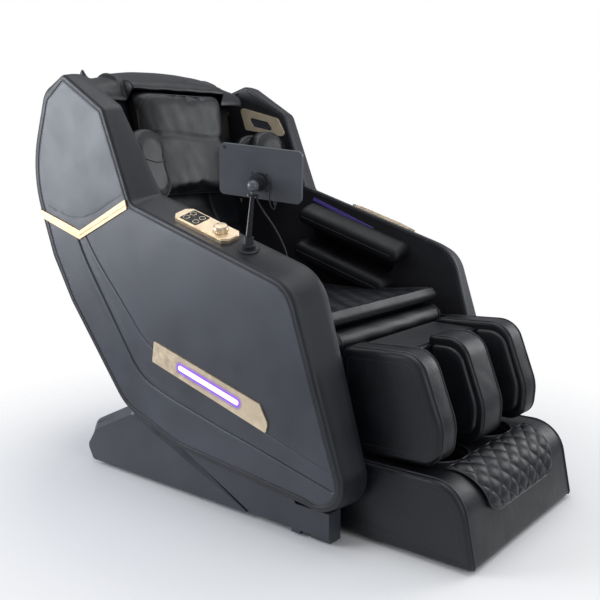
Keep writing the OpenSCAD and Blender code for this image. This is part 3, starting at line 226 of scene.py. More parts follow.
def metal(name, colour, rough, brushed=(1, 1, 1), flake=0.15, amount=1.0):
    m, tree, bsdf = begin(name, colour, rough, amount)
    at = place(tree, brushed)
    shade = tint(tree, spread(tree, noise(tree, at, 40, 4), 0, 1), tuple(c * 0.9 for c in colour), tuple(min(1, c * 1.08) for c in colour))
    tree.links.new(shade, bsdf.inputs["Base Color"])
    tree.links.new(spread(tree, noise(tree, at, 60, 4), rough - 0.06, rough + 0.08), bsdf.inputs["Roughness"])
    bumps(tree, bsdf, [(noise(tree, at, 900, 3), flake, 0.0001)])
    return m


def maths(tree, kind, a, b=0.0):
    n = node(tree, "ShaderNodeMath", operation=kind)
    for socket, value in zip(n.inputs, (a, b)):
        if isinstance(value, (int, float)):
            socket.default_value = value
        else:
            tree.links.new(value, socket)
    return n.outputs[0]


STRIP = (-0.0144, 0.3242, math.radians(15.4))


def off_strip(tree):
    """How far a point lies from the middle line of the lit strip, in metres."""
    xyz = node(tree, "ShaderNodeSeparateXYZ")
    tree.links.new(place(tree), xyz.inputs[0])
    y = maths(tree, "SUBTRACT", xyz.outputs[1], STRIP[0])
    z = maths(tree, "SUBTRACT", xyz.outputs[2], STRIP[1])
    along = maths(tree, "ADD", maths(tree, "MULTIPLY", y, math.cos(STRIP[2])), maths(tree, "MULTIPLY", z, math.sin(STRIP[2])))
    over = maths(tree, "SUBTRACT", maths(tree, "MULTIPLY", z, math.cos(STRIP[2])), maths(tree, "MULTIPLY", y, math.sin(STRIP[2])))
    past = maths(tree, "MAXIMUM", maths(tree, "SUBTRACT", maths(tree, "ABSOLUTE", along), 0.096), 0.0)
    far = maths(tree, "SQRT", maths(tree, "ADD", maths(tree, "MULTIPLY", past, past), maths(tree, "MULTIPLY", over, over)))
    return far, maths(tree, "GREATER_THAN", maths(tree, "ABSOLUTE", xyz.outputs[0]), 0.33)


def glowing(name, core, halo, power):
    """A strip with a white middle and coloured edges. The strips inside the arms are dim."""
    m, tree, bsdf = begin(name, (0.10, 0.09, 0.17), 0.35)
    far, outside = off_strip(tree)
    tree.links.new(tint(tree, maths(tree, "MULTIPLY", outside, spread(tree, far, 1, 0, 0.0015, 0.0070)), halo, core), bsdf.inputs["Emission Color"])
    level = maths(tree, "MULTIPLY", spread(tree, noise(tree, place(tree), 30, 2), power * 0.9, power * 1.1), maths(tree, "ADD", maths(tree, "MULTIPLY", outside, 0.985), 0.015))
    tree.links.new(level, bsdf.inputs["Emission Strength"])
    bumps(tree, bsdf, [(noise(tree, place(tree), 600, 2), 0.1, 0.0001)])
    return m


# %% The finishes
BLACK = (0.0070, 0.0077, 0.0104)
SIDE = (0.033, 0.037, 0.051)
finish = {
    "black_leather": leather("black_leather", BLACK, 0.37, crease=0.45, wave=0.35),
    "side_leather": leather("side_leather", SIDE, 0.40, grain=1000, crease=0.08, coat=0.25, wave=0.06),
    "gold_trim": metal("gold_trim", (0.86, 0.70, 0.50), 0.34, flake=0.12, amount=0.85),
    "black_plastic": plastic("black_plastic", (0.022, 0.022, 0.026), 0.42),
    "fairing_plastic": plastic("fairing_plastic", (0.036, 0.040, 0.050), 0.36, depth=0.10),
    "frame_steel": metal("frame_steel", (0.05, 0.05, 0.055), 0.5, flake=0.5, amount=0.3),
    "bright_steel": metal("bright_steel", (0.62, 0.62, 0.64), 0.24, brushed=(1, 1, 14)),
    "dark_metal": plastic("dark_metal", (0.075, 0.080, 0.092), 0.40, depth=0.12),
    "rubber": plastic("rubber", (0.018, 0.018, 0.018), 0.78, grain=700, depth=0.5),
    "light_diffuser": glowing("light_diffuser", (0.85, 0.78, 1.0), (0.14, 0.03, 1.0), 5),
    "screen_glass": plastic("screen_glass", (0.01, 0.01, 0.012), 0.10, depth=0.0),
    "roller_plastic": plastic("roller_plastic", (0.55, 0.40, 0.22), 0.38),
}
band_leather = leather("band_leather", (0.0125, 0.0135, 0.018), 0.42, grain=1000, crease=0.12, wave=0.05)
# The arm pads get a darker, rougher leather than the other black pieces: painted shade for the shadow inside the arm
# channel.
arm_pad_leather_painted_shade = leather("arm_pad_leather_painted_shade", (0.003, 0.0035, 0.006), 0.56, crease=0.5, wave=0.4)
thread = plastic("thread", (0.05, 0.052, 0.060), 0.7, grain=2600, depth=0.7)
piping = leather("piping_leather", (0.020, 0.020, 0.024), 0.34, grain=1100, crease=0.1)
seam_dark = plastic("seam_shadow", (0.006, 0.006, 0.007), 0.85)
# The side ornaments are gold with painted light: near the lit strip their colour turns violet and they glow violet, a
# painted spill and halo of the strip's light.
gold_painted_glow = metal("gold_painted_glow", (0.86, 0.70, 0.50), 0.34, flake=0.12, amount=0.85)
painted_glow_tree = gold_painted_glow.node_tree
painted_glow_bsdf = painted_glow_tree.nodes["Principled BSDF"]
painted_glow_bsdf.inputs["Emission Color"].default_value = (0.22, 0.06, 1.0, 1)
painted_glow = spread(painted_glow_tree, off_strip(painted_glow_tree)[0], 1, 0, 0.006, 0.019)
painted_glow_tree.links.new(maths(painted_glow_tree, "MULTIPLY", maths(painted_glow_tree, "POWER", painted_glow, 2.0), 1.3), painted_glow_bsdf.inputs["Emission Strength"])
painted_violet_base = node(painted_glow_tree, "ShaderNodeMix", data_type="RGBA")
painted_glow_tree.links.new(painted_glow, painted_violet_base.inputs[0])
painted_glow_tree.links.new(painted_glow_bsdf.inputs["Base Color"].links[0].from_socket, painted_violet_base.inputs[6])
painted_violet_base.inputs[7].default_value = (0.05, 0.02, 0.30, 1)
painted_glow_tree.links.new(painted_violet_base.outputs[2], painted_glow_bsdf.inputs["Base Color"])
soft_gold = metal("soft_gold", (0.88, 0.74, 0.54), 0.42, flake=0.12, amount=0.35)
stem_black = plastic("stem_black", (0.010, 0.010, 0.012), 0.22, depth=0.08)
stem_tree = stem_black.node_tree
stem_xyz = node(stem_tree, "ShaderNodeSeparateXYZ")
stem_tree.links.new(place(stem_tree), stem_xyz.inputs[0])
ball_grey = tint(stem_tree, spread(stem_tree, stem_xyz.outputs[2], 0, 1, 0.7735, 0.7755), (0.010, 0.010, 0.012), (0.115, 0.122, 0.135))
stem_tree.links.new(ball_grey, stem_tree.nodes["Principled BSDF"].inputs["Base Color"])
special = {
    "side_ornaments": gold_painted_glow, "speaker_trims": soft_gold, "waist_trims": soft_gold, "stand_stem": stem_black,
    "v_strips": metal("deep_gold", (0.66, 0.49, 0.30), 0.40, flake=0.12, amount=0.85),
}
slot_of = {s["node"]: s["material_slot"] for s in frame["record"]["subparts"]}
for name, ob in frame["nodes"].items():
    ob.data.materials.clear()
    ob.data.materials.append(special.get(name, finish[slot_of[name]]))
print("finishes", len(finish), "on", len(slot_of), "nodes")

# %% [markdown]
# ## Shape helpers
# Upholstery is mostly long outlines that are carried across a width and rounded at both
# ends, so the helpers gather loops of points into closed skins, add piping as tubes and
# sew rows of stitches. Outlines are lists of corners in the chair's side view, in
# millimetres: [y, z, radius, ...], clockwise as seen from the sitter's left.

# %% Outlines
def unit(v):
    v = np.asarray(v, float)
    return v / np.linalg.norm(v)


def corner_arc(before, corner, after, step):
    q = np.array(corner[:2], float)
    a, b = unit(np.array(before[:2]) - q), unit(np.array(after[:2]) - q)
    half = math.acos(float(np.clip(a @ b, -1, 1))) / 2
    r = corner[2]
    centre = q + unit(a + b) * r / math.sin(half)
    start = q + a * r / math.tan(half) - centre
    side = 1 if a[1] * b[0] - a[0] * b[1] < 0 else -1
    sweep = (2 * half - math.pi) * side
    n = max(1, math.ceil(abs(sweep) / math.radians(step)))
    arc = []
    for i in range(n + 1):
        ang = math.atan2(start[1], start[0]) + sweep * i / n
        u = np.array([math.cos(ang), math.sin(ang)])
        arc.append([*(centre + r * u), *(side * u), *corner[3:]])
    return arc


def outline(corners, step=5):
    n = len(corners)
    return np.array([p for i in range(n) for p in corner_arc(corners[i - 1], corners[i], corners[(i + 1) % n], step)])


def spaced(points, step, closed=False):
    """The same line with a point about every step."""
    points = np.asarray(points, float)
    if closed:
        points = np.vstack([points, points[:1]])
    run = np.concatenate([[0], np.cumsum(np.linalg.norm(np.diff(points, axis=0), axis=1))])
    n = max(2, int(round(run[-1] / step)) + (0 if closed else 1))
    at = np.linspace(0, run[-1], n, endpoint=not closed)
    return np.stack([np.interp(at, run, points[:, k]) for k in range(points.shape[1])], 1)


def normals_of(poly):
    """Outward normals of a clockwise closed outline."""
    d = np.roll(poly, -1, 0) - np.roll(poly, 1, 0)
    n = np.stack([-d[:, 1], d[:, 0]], 1)
    return n / np.maximum(np.linalg.norm(n, axis=1), 1e-9)[:, None]


def smooth_line(points, times=2):
    points = np.asarray(points, float)
    for _ in range(times):
        a, b = points[:-1], points[1:]
        cut = np.empty((2 * len(a), points.shape[1]))
        cut[0::2], cut[1::2] = 0.75 * a + 0.25 * b, 0.25 * a + 0.75 * b
        points = np.vstack([points[:1], cut, points[-1:]])
    return points


def wobble(a, b, amount, size, seed):
    """The soft unevenness of hand-pulled leather, the same on every run."""
    rng = np.random.default_rng(seed)
    total = 0
    for _ in range(7):
        ang, phase = rng.uniform(0, 2 * math.pi, 2)
        f = 2 * math.pi / size * rng.uniform(0.6, 1.7)
        total = total + np.sin(f * (a * math.cos(ang) + b * math.sin(ang)) + phase)
    return amount * total / 7


# %% Forms
class Form:
    """Gathers closed bodies, in millimetres, into one object. A tag picks the material."""

    def __init__(self):
        self.points, self.faces, self.tags, self.count = [], [], [], 0

    def add(self, points, faces, tag=0):
        self.points.append(np.asarray(points, float))
        self.faces += [[i + self.count for i in f] for f in faces]
        self.tags += [tag] * len(faces)
        self.count += len(points)

    def skin(self, loops, tag=0, caps=True, round_trip=False):
        loops = np.asarray(loops, float)
        m, n = loops.shape[:2]
        faces = []
        for k in range(m if round_trip else m - 1):
            for i in range(n):
                j, l = (i + 1) % n, (k + 1) % m
                faces.append([k * n + i, k * n + j, l * n + j, l * n + i])
        if caps and not round_trip:
            faces += [list(range(n))[::-1], [(m - 1) * n + i for i in range(n)]]
        self.add(loops.reshape(-1, 3), faces, tag)

    def tube(self, path, radius, tag=0, sides=8, closed=False):
        path = np.asarray(path, float)
        m = len(path)
        if closed:
            along = np.roll(path, -1, 0) - np.roll(path, 1, 0)
        else:
            along = np.gradient(path, axis=0)
        along /= np.linalg.norm(along, axis=1)[:, None]
        side = np.cross(along[0], [0, 0, 1] if abs(along[0][2]) < 0.9 else [1, 0, 0])
        side = unit(side)
        radii = np.broadcast_to(np.asarray(radius, float), (m,))
        loops = []
        for k in range(m):
            side = unit(side - along[k] * (side @ along[k]))
            up = np.cross(along[k], side)
            loops.append([
                path[k] + radii[k] * (side * math.cos(2 * math.pi * i / sides) + up * math.sin(2 * math.pi * i / sides))
                for i in range(sides)
            ])
        self.skin(loops, tag, round_trip=closed)

    def stitches(self, path, pitch, length, radius, tag=0):
        line = spaced(path, pitch / 2)
        for k in range(0, len(line) - 1, 2):
            a, b = line[k], line[k + 1]
            d = (b - a) / max(np.linalg.norm(b - a), 1e-9) * length / 2
            c = (a + b) / 2
            self.tube([c - d, c - d * 0.6, c + d * 0.6, c + d], [radius * 0.4, radius, radius, radius * 0.4], tag, 5)

    def mirrored(self, axis=0):
        points = np.vstack(self.points).copy()
        points[:, axis] *= -1
        self.add(points, [f[::-1] for f in self.faces], 0)
        half = len(self.tags) // 2
        self.tags[half:] = self.tags[:half]
        return self

    def make(self, name, *mats, sharp=38):
        me = bpy.data.meshes.new(name)
        me.from_pydata((np.vstack(self.points) * MM).tolist(), [], self.faces)
        me.polygons.foreach_set("material_index", self.tags)
        for m in mats:
            me.materials.append(m)
        work = bmesh.new()
        work.from_mesh(me)
        bmesh.ops.recalc_face_normals(work, faces=work.faces)
        work.to_mesh(me)
        work.free()
        me.polygons.foreach_set("use_smooth", [True] * len(me.polygons))
        me.set_sharp_from_angle(angle=math.radians(sharp))
        ob = bpy.data.objects.new(name, me)
        scene.collection.objects.link(ob)
        return ob


def dress(ob, body, nodes=()):
    """Hangs a piece on its body, and hides the model's parts that it replaces."""
    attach(ob, body)
    if nodes:
        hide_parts(*nodes)
    return ob


# %% [markdown]
# ## The two leads
# A thin lead powers the tablet. It comes out of a rubber grommet on the inner side of the
# arm, climbs behind the arm's edge and goes up under the collar of the stand. A shorter
# one goes from the clamp round the tablet's lower edge into a straight plug.

# %% The leads
def route(points, steps):
    """A smooth line through the points, in metres."""
    p = [np.array(q, float) for q in points]
    n = len(p) - 1
    line = []
    for k in range(steps + 1):
        f = k / steps * n
        i = min(int(f), n - 1)
        u = f - i
        a, b, c, d = p[max(i - 1, 0)], p[i], p[i + 1], p[min(i + 2, n)]
        line.append(0.5 * (2 * b + (c - a) * u + (2 * a - 5 * b + 4 * c - d) * u * u + (3 * b - a - 3 * c + d) * u ** 3))
    return line


def lead(name, line, diameter):
    data = bpy.data.curves.new(name, "CURVE")
    data.dimensions = "3D"
    data.bevel_depth = diameter / 2
    data.bevel_resolution = 3
    data.use_fill_caps = True
    spline = data.splines.new("POLY")
    spline.points.add(len(line) - 1)
    for point, where in zip(spline.points, line):
        point.co = (*where, 1)
    ob = bpy.data.objects.new(name, data)
    scene.collection.objects.link(ob)
    data.materials.append(lead_rubber)
    return ob, float(sum(np.linalg.norm(b - a) for a, b in zip(line, line[1:])))


lead_rubber = plastic("lead_rubber", (0.016, 0.016, 0.018), 0.5, grain=900, depth=0.3)
slope = math.atan2(742 - 587, 243 + 266)
crown_tilt = math.atan2(24, 90 - 10 - 6)


def arm_z(y):
    return 742 + (y - 243) * math.tan(slope)


lean = math.radians(7.5)
stand = np.array([-332, -100, arm_z(-100) + (370 - 332) * math.tan(crown_tilt) / math.cos(slope)])


def on_stem(x, y, z):
    """From the leaning stem's own frame to the chair's, in millimetres."""
    return stand + [x, y * math.cos(lean) - z * math.sin(lean), y * math.sin(lean) + z * math.cos(lean)]


ball = on_stem(0, 0, 144)
tablet_turn = Euler([math.radians(a) for a in (10, 6, -75)], "XYZ").to_matrix()


def at_ball(p):
    """From the tablet's frame, in millimetres, to metres on the chair."""
    return (ball + np.array(tablet_turn @ Vector(p))) * MM


main_line = [p * MM for p in route([
    [-278, -163, 612], [-272, -163, 613], [-266, -162, 620], [-265, -160, 634], [-270, -154, 658],
    [-287, -143, 697], [-306, -131, 730], [-318.5, -126, 750], on_stem(7, -9.5, 113), on_stem(7, -9.5, 121.8),
], 36)]
long_lead, long_length = lead("tablet_lead_flex", main_line, 0.004)
dress(long_lead, "capsule", ["tablet_lead"])
short_line = [at_ball(p) for p in route([
    [21.2, 26, 6], [25.5, 26, 6], [29, 25.5, 1], [29, 24.5, -12], [28.5, 24, -24],
    [29.5, 24, -36], [32.5, 27, -50], [36.5, 33, -58], [39, 34.5, -51], [39, 34.5, -45.2],
], 36)]
short_lead, short_length = lead("plug_lead_flex", short_line, 0.003)
dress(short_lead, "tablet", ["plug_lead"])
print("leads", round(long_length, 3), round(short_length, 3))

# %% [markdown]
# ## Side covers
# Each side shell is a moulding wrapped in satin leather. The cover follows the moulding's
# rim and band, turns over a rounded edge and ends in a welt. Inside the welt lie cut
# panels whose edges are turned under, so that a seam is the valley between two panels.

# %% Side covers
HALF, WALL = 380, 5
shell = outline([
    [-435, 80, 70, 90, 8, 10], [-266, 587, 90, 90, 24, 10], [243, 742, 28, 90, 24, 10],
    [338, 975, 28, 60, 8, 10], [492, 1066, 28, 60, 4, 10], [592, 1032, 60, 80, 0, 28],
    [674, 810, 300, 80, 0, 28], [588, 575, 110, 80, 0, 28], [507, 462, 200, 28, 0, 14],
    [300, 205, 160, 28, 0, 14], [100, 137, 250, 28, 0, 14], [-300, 95, 100, 28, 0, 14],
])
band, crown, edge = shell[:, 4], shell[:, 5], shell[:, 6]
rim = HALF - band


def shell_loop(x, d):
    at = shell[:, :2] + shell[:, 2:4] * np.broadcast_to(d, len(shell))[:, None]
    return np.column_stack([np.broadcast_to(x, len(shell)), at])


def cover_loops():
    loops = []
    for a in np.radians([0, 30, 60, 90]):
        loops.append(shell_loop(HALF - WALL - edge * (1 - math.cos(a)) * 0.9, -WALL - (edge - WALL) * (1 - math.sin(a))))
    loops.append(shell_loop(rim, crown - 6 - WALL))
    for b in np.radians([0, 30, 60, 90]):
        loops.append(shell_loop(rim + 6 * (1 - math.cos(b)), crown - 6 + 6 * math.sin(b)))
    for t in (0.2, 0.4, 0.6, 0.8):
        x = (rim + 6) * (1 - t) + (HALF - 0.98 * edge) * t
        loops.append(shell_loop(x, crown * (1 - t) + 1.4 * math.sin(math.pi * t)))
    for a in np.radians(np.arange(0, 91, 9)):
        loops.append(shell_loop(HALF - edge * (1 - math.sin(a)) * 0.98, -edge * (1 - math.cos(a))))
    for inward, depth in ((3, 0), (4.2, 0.5), (5, 2.1), (9, 4.6)):
        loops.append(shell_loop(HALF - depth, -edge - inward))
    return loops


def holds(poly, p):
    """Whether an outline goes round a point."""
    a, b = poly, np.roll(poly, -1, 0)
    level = (a[:, 1] > p[1]) != (b[:, 1] > p[1])
    cross = a[:, 0] + (p[1] - a[:, 1]) / np.where(b[:, 1] == a[:, 1], 1, b[:, 1] - a[:, 1]) * (b[:, 0] - a[:, 0])
    return np.sum(level & (cross > p[0])) % 2 == 1


def away_from(points, line):
    """The distance of every point to a line of straight pieces."""
    a, d = line[:-1, None], (line[1:] - line[:-1])[:, None]
    t = np.clip(np.sum((points - a) * d, 2) / np.maximum(np.sum(d * d, 2), 1e-9), 0, 1)
    return np.linalg.norm(points - a - t[..., None] * d, axis=2).min(0)


def dent(distance, width, depth):
    return depth * np.exp(-((distance / width) ** 2))


v_line = [[243, 752], [262, 752], [447, 664], [618, 713], [646, 722]]
dark_line = [[464, 648], [431, 585], [357, 482], [291, 390], [227, 302], [124, 267], [35, 246], [-62, 222], [-144, 205], [-400, 145]]
fold_line = [[432, 655], [386, 589], [277, 475], [194, 381], [-10, 300], [-214, 236], [-405, 181]]
field = spaced(shell_loop(0, -edge - 5.2)[:, 1:], 6, closed=True)
ring = np.vstack([field, field[:1]])


def seam_run(line, step=5):
    """A seam as evenly spaced points, as far as it lies on the side face."""
    run = spaced(smooth_line(line), step)
    return np.array([p for p in run if holds(field, p) and away_from(p[None], ring)[0] > 6])


seams = [seam_run(line) for line in (v_line, dark_line, fold_line)]


def side_face():
    """The flat leather: a net of triangles, closer along its seams and its edge."""
    rounds = [field - normals_of(field) * d for d in (0.7, 2.2, 5)]
    points = [*field, *np.vstack(rounds)]
    near = []
    for run in seams:
        n = normals_of(run)
        n[0], n[-1] = n[1], n[-2]
        near += [run + n * d for d in (-5, -2.6, -1.2, 0, 1.2, 2.6, 5)]
    near = np.vstack(near)
    points += list(near[away_from(near, ring) > 5.5])
    y, z = np.meshgrid(np.arange(-400, 640, 8.0), np.arange(100, 1060, 8.0))
    net = np.column_stack([y.ravel(), z.ravel()])
    net = net[[holds(field, p) for p in net]]
    keep = away_from(net, ring) > 8
    for run in seams:
        keep &= away_from(net, run) > 7.5
    points += list(net[keep])
    flat, _, faces, *_ = delaunay_2d_cdt([Vector(p) for p in points], [], [list(range(len(field)))], 1, 0.05)
    flat = np.array([list(p) for p in flat])
    v, dark, fold = [away_from(flat, run) for run in seams]
    rim = away_from(flat, ring)
    x = HALF - dent(rim, 1.3, 2.2) - dent(dark, 1.7, 3.2) - dent(fold, 1.4, 1.5) - dent(v - 14, 1.5, 0.8)
    x += dent(dark - 9, 6, 0.9) + dent(fold - 6, 4, 0.5) + np.minimum(1, rim / 12) * wobble(flat[:, 0], flat[:, 1], 0.5, 240, 8)
    return np.column_stack([x, flat]), [list(f) for f in faces]


face_points, face_faces = side_face()
for name, sign in (("left", 1), ("right", -1)):
    form = Form()
    form.skin(cover_loops(), 3)
    form.add(face_points, face_faces)
    welt = shell_loop(HALF + 0.15, -edge - 10.5)
    form.stitches(np.vstack([welt, welt[:1]]), 8, 4.6, 0.5, 1)
    form.tube(spaced(shell_loop(HALF - 0.9, -edge - 4.6), 8, closed=True), 1.5, 2, 8, True)
    for run, away in ((seams[1], 5), (seams[0], 17)):
        shift = (run + normals_of(run) * away)[1:-1]
        form.stitches(np.column_stack([np.full(len(shift), HALF + 0.5), shift]), 8, 4.6, 0.5, 1)
    for p in form.points:
        p[:, 0] *= sign
    cover = form.make(f"side_cover_{name}", finish["side_leather"], thread, piping, band_leather, sharp=50)
    dress(cover, "capsule", [f"side_shell_{name}"])
print("side covers", len(face_points), "points a side")

# %% [markdown]
# ## Foam and leather
# A pad is cut a little small and blown up like a balloon by the cloth solver, which gives
# the leather its full middle and its drawn corners. Piping and stitches are laid on the
# blown pad afterwards, so they sit on it exactly.

# %% Blowing up a pad
def swap_mesh(ob):
    """Keeps what the modifiers made, and drops the modifiers."""
    bpy.context.view_layer.update()
    made = bpy.data.meshes.new_from_object(ob.evaluated_get(bpy.context.evaluated_depsgraph_get()))
    ob.modifiers.clear()
    ob.data = made
    made.polygons.foreach_set("use_smooth", [True] * len(made.polygons))


def coords(me):
    co = np.zeros(len(me.vertices) * 3)
    me.vertices.foreach_get("co", co)
    return co.reshape(-1, 3)


def blow_up(ob, cap, voxel=6, pressure=4.0, shrink=0.6):
    cut = ob.modifiers.new("cut", "REMESH")
    cut.mode = "VOXEL"
    cut.voxel_size = voxel * MM
    swap_mesh(ob)
    start = coords(ob.data)
    normals = np.zeros(len(ob.data.vertices) * 3)
    ob.data.vertices.foreach_get("normal", normals)
    start = start - normals.reshape(-1, 3) * shrink * cap * MM * 0.5
    ob.data.vertices.foreach_set("co", start.ravel())
    cloth = ob.modifiers.new("cloth", "CLOTH")
    cloth.settings.quality = 5
    cloth.settings.mass = 0.35
    cloth.settings.tension_stiffness = 12
    cloth.settings.compression_stiffness = 12
    cloth.settings.bending_stiffness = 0.6
    cloth.settings.use_pressure = True
    cloth.settings.uniform_pressure_force = pressure
    cloth.settings.effector_weights.gravity = 0
    cloth.point_cache.frame_start, cloth.point_cache.frame_end = 1, 20
    for frame_number in range(1, 21):
        scene.frame_set(frame_number)
    blown = coords(ob.evaluated_get(bpy.context.evaluated_depsgraph_get()).data)
    scene.frame_set(1)
    ob.modifiers.clear()
    move = blown - start
    far = np.linalg.norm(move, axis=1)
    move *= (np.minimum(far, cap * MM) / np.maximum(far, 1e-9))[:, None]
    ob.data.vertices.foreach_set("co", (start + move).ravel())
    ob.modifiers.new("round", "SUBSURF").levels = 1
    swap_mesh(ob)
    return ob


def laid_on(ob, points, towards, lift=0.0):
    """The points, in millimetres, moved along a direction until they lie on the piece."""
    d = Vector(towards).normalized()
    found = []
    for p in points:
        start = Vector(p) * MM - d * 0.15
        hit, where, _, _ = ob.ray_cast(start, d)
        if hit:
            found.append(np.array(where) / MM - np.array(d) * lift)
    return np.array(found)


def trim(name, body, lines=(), rows=(), radius=2.0):
    """Piping along closed or open lines, and rows of stitches, as one piece."""
    form = Form()
    for line, closed in lines:
        form.tube(line, radius, 0, 8, closed)
    for row in rows:
        form.stitches(row, 7, 4.2, 0.45, 1)
    return dress(form.make(name, piping, thread), body)


# %% [markdown]
# ## The back
# The back cushion is a tall panel with a lumbar swell. Two upright seams part it from its
# flatter sides, a cross seam lies below the pillow, and the whole is laced to the frame.

# %% Back cushion
def back_rear(z):
    return 491 + 0.2 * (z - 717)


def lumbar(z):
    return 52 * np.exp(-(((z - 590) / 85) ** 2))


def soft_step(v, low, high):
    t = np.clip((v - low) / (high - low), 0, 1)
    return t * t * (3 - 2 * t)


def groove(v, at, width, depth):
    return depth * np.exp(-(((v - at) / width) ** 2))


form = Form()
loops = []
u = np.sin(np.linspace(1, -1, 91) * math.pi / 2) * 0.15 + np.linspace(1, -1, 91) * 0.85
for z in np.concatenate([[520, 523, 528], np.linspace(536, 1022, 84), [1030, 1036, 1038]]):
    thin = np.interp(z - 520, [0, 3, 8, 24, 480, 502, 510, 516, 518], [22, 11, 6, 0, 0, 6, 10, 16, 24])
    draw = np.interp(z - 520, [0, 8, 480, 508, 518], [10, 3, 0, 4, 10])
    full = 36 - 20 * soft_step(np.abs(u), 0.735, 0.79) + 6 * (1 - u * u) + lumbar(z) * (1 - u * u)
    full -= groove(np.abs(u), 0.765, 0.012, 4) + groove(z, 638, 5, 7) + groove(np.abs(u), 0.36, 0.012, 4)
    full += wobble(u * 282, z, 1.2, 90, 3) - 10 * soft_step(np.abs(u), 0.955, 1.0)
    y = back_rear(z) - 0.3 - np.maximum(6, full - thin)
    x = u * (282 - draw)
    loops.append(np.vstack([
        [[-(282 - draw), back_rear(z) - 0.3, z], [282 - draw, back_rear(z) - 0.3, z]],
        np.column_stack([x, y, np.full(len(u), z)]),
    ]))
form.skin(loops)
back = form.make("back_upholstery", finish["black_leather"], sharp=60)
dress(back, "capsule", ["back_cushion"])
lines = []
for s in (-1, 1):
    lines.append((laid_on(back, [[s * 218, 0, z] for z in range(545, 1015, 10)], (0, 1, 0), 0.2), False))
rows = [laid_on(back, [[s * 207, 0, z] for z in range(545, 1015, 6)], (0, 1, 0), 0.2) for s in (-1, 1)]
trim("back_seams", "capsule", lines, rows, 1.8)
print("back cushion rows", len(loops))

# %% [markdown]
# ## The head pillow
# A loose pillow hangs over the top of the back on a flap. It is a full box cushion, wider
# at the top than at the bottom, with a sewn side panel all the way round.

# %% Head pillow
form = Form()
loops = []
u = np.sin(np.linspace(1, -1, 41) * math.pi / 2)
for f in np.concatenate([[0, 0.006, 0.02, 0.04], np.linspace(0.07, 0.93, 36), [0.96, 0.98, 0.994, 1]]):
    z = 733 + 304 * f
    w = np.interp(f, [0, 0.006, 0.02, 0.06, 0.94, 0.98, 0.994, 1], [24, 14, 6, 1, 1, 6, 14, 24])
    thin = np.interp(f, [0, 0.006, 0.02, 0.06, 0.14, 0.86, 0.94, 0.98, 0.994, 1], [46, 34, 20, 8, 2, 1, 4, 10, 18, 30])
    half = 163 + 15 * f - w
    rear = back_rear(z) - 36 - lumbar(z) - 6 - 0.3 - 2.4
    y = rear - np.maximum(9, (64 - thin) * (1 - 0.5 * np.abs(u) ** 9)) - 3 * (1 - u * u)
    y += wobble(u * 170, z, 1.4, 80, 11) + groove(z + 6 * np.sin(u * 3), 905, 7, 3.5) * (1 - 0.6 * u * u)
    loops.append(np.vstack([
        [[-(half - 6), rear, z], [half - 6, rear, z]],
        np.column_stack([u * half, y, np.full(len(u), z)]),
    ]))
form.skin(loops)
pillow = blow_up(form.make("head_pillow_leather", finish["black_leather"], sharp=60), cap=7)
dress(pillow, "capsule", ["head_pillow"])
ring = []
for k in range(96):
    a = 2 * math.pi * k / 96
    c, s = math.cos(a), math.sin(a)
    f = 0.5 + 0.46 * math.copysign(abs(s) ** 0.32, s)
    ring.append([(153 + 13 * f) * math.copysign(abs(c) ** 0.32, c), 0, 733 + 304 * f])
ring = laid_on(pillow, ring, (0, 1, 0), 0.1)
middle = np.array([0, 0, ring[:, 2].mean()])
inner = laid_on(pillow, middle + (ring - middle) * [0.945, 0, 0.945], (0, 1, 0), 0.15)
trim("pillow_seams", "capsule", [(ring, True)], [inner], 1.2)
print("pillow seam points", len(ring))

# %% [markdown]
# ## The top cover
# A padded cover folds over the top of the back and hides the pillow's straps. Its middle
# stands on the foam, its sides fall away, and one outer corner is pulled up to a point.

# %% Top cover
def hood_row(x):
    dip = 34 * float(soft_step(abs(x), 179, 187))
    flick = 44 * max(0.0, 1 - abs(x + 250) / 12)
    fall = 30 * (abs(x) / 280) ** 2 + 7 * float(soft_step(abs(x), 196, 206)) - 3 * math.exp(-((abs(x) - 192) / 6) ** 2)
    return np.array([
        [452 + dip * 0.6, 1040 - dip], [456 + dip * 0.6, 1050 - dip * 0.95], [464 + dip * 0.5, 1058 - dip * 0.9],
        [478 + dip * 0.3, 1068 - dip * 0.5 - fall * 0.5], [494, 1077 - fall], [512, 1085 - fall], [530, 1091 - fall],
        [545, 1095 - fall], [560, 1096 - fall], [572, 1094 + flick * 0.5 - fall], [583, 1088 + flick - fall],
        [592, 1079 + flick * 0.6 - fall * 0.8], [598, 1068 + flick * 0.2 - fall], [604, 1036],
    ])


form = Form()
loops = []
marks = np.unique(np.concatenate([np.linspace(-289, 289, 84), [-259, -255, -250, -245, -241, 180, 187, -180, -187, 192, 197, 201, 206, -192, -197, -201, -206]]))
for x in marks:
    row = hood_row(x)
    row[:, 1] += wobble(row[:, 0], np.full(len(row), x), 2.2, 90, 5) - 2.0
    thick = 12.5 * min(1, (290 - abs(x)) / 5 + 0.35)
    d = np.gradient(row, axis=0)
    d /= np.linalg.norm(d, axis=1)[:, None]
    under = np.column_stack([row[:, 0] + d[:, 1] * thick, row[:, 1] - d[:, 0] * thick])
    loops.append(np.column_stack([np.full(2 * len(row), x), np.vstack([row, under[::-1]])]))
form.skin(loops)
hood = form.make("top_cover_leather", finish["black_leather"], sharp=60)
hood.modifiers.new("round", "SUBSURF").levels = 1
swap_mesh(hood)
dress(hood, "capsule", ["top_cover"])
hems = [laid_on(hood, [[x, y, 1150] for x in range(-272, 273, 6)], (0, 0, -1), 0.1) for y in (474, 568)]
trim("top_cover_seams", "capsule", [], hems)
print("top cover columns", len(marks))

# %% [markdown]
# ## Arm and shoulder pads
# The forearm lies in a channel between two long pads, which hold air bags. Two pads a side
# press on the shoulders; each is a thick oval with piping round its face, and the front
# one has a crease across its middle.

# %% Arm pads
LINER = 286
ARM_MID = (40, 588)


def arm_point(x, a, h):
    """A point along (a) and across (h) the sloping arm."""
    return [x, ARM_MID[0] + a * math.cos(slope) - h * math.sin(slope), ARM_MID[1] + a * math.sin(slope) + h * math.cos(slope)]


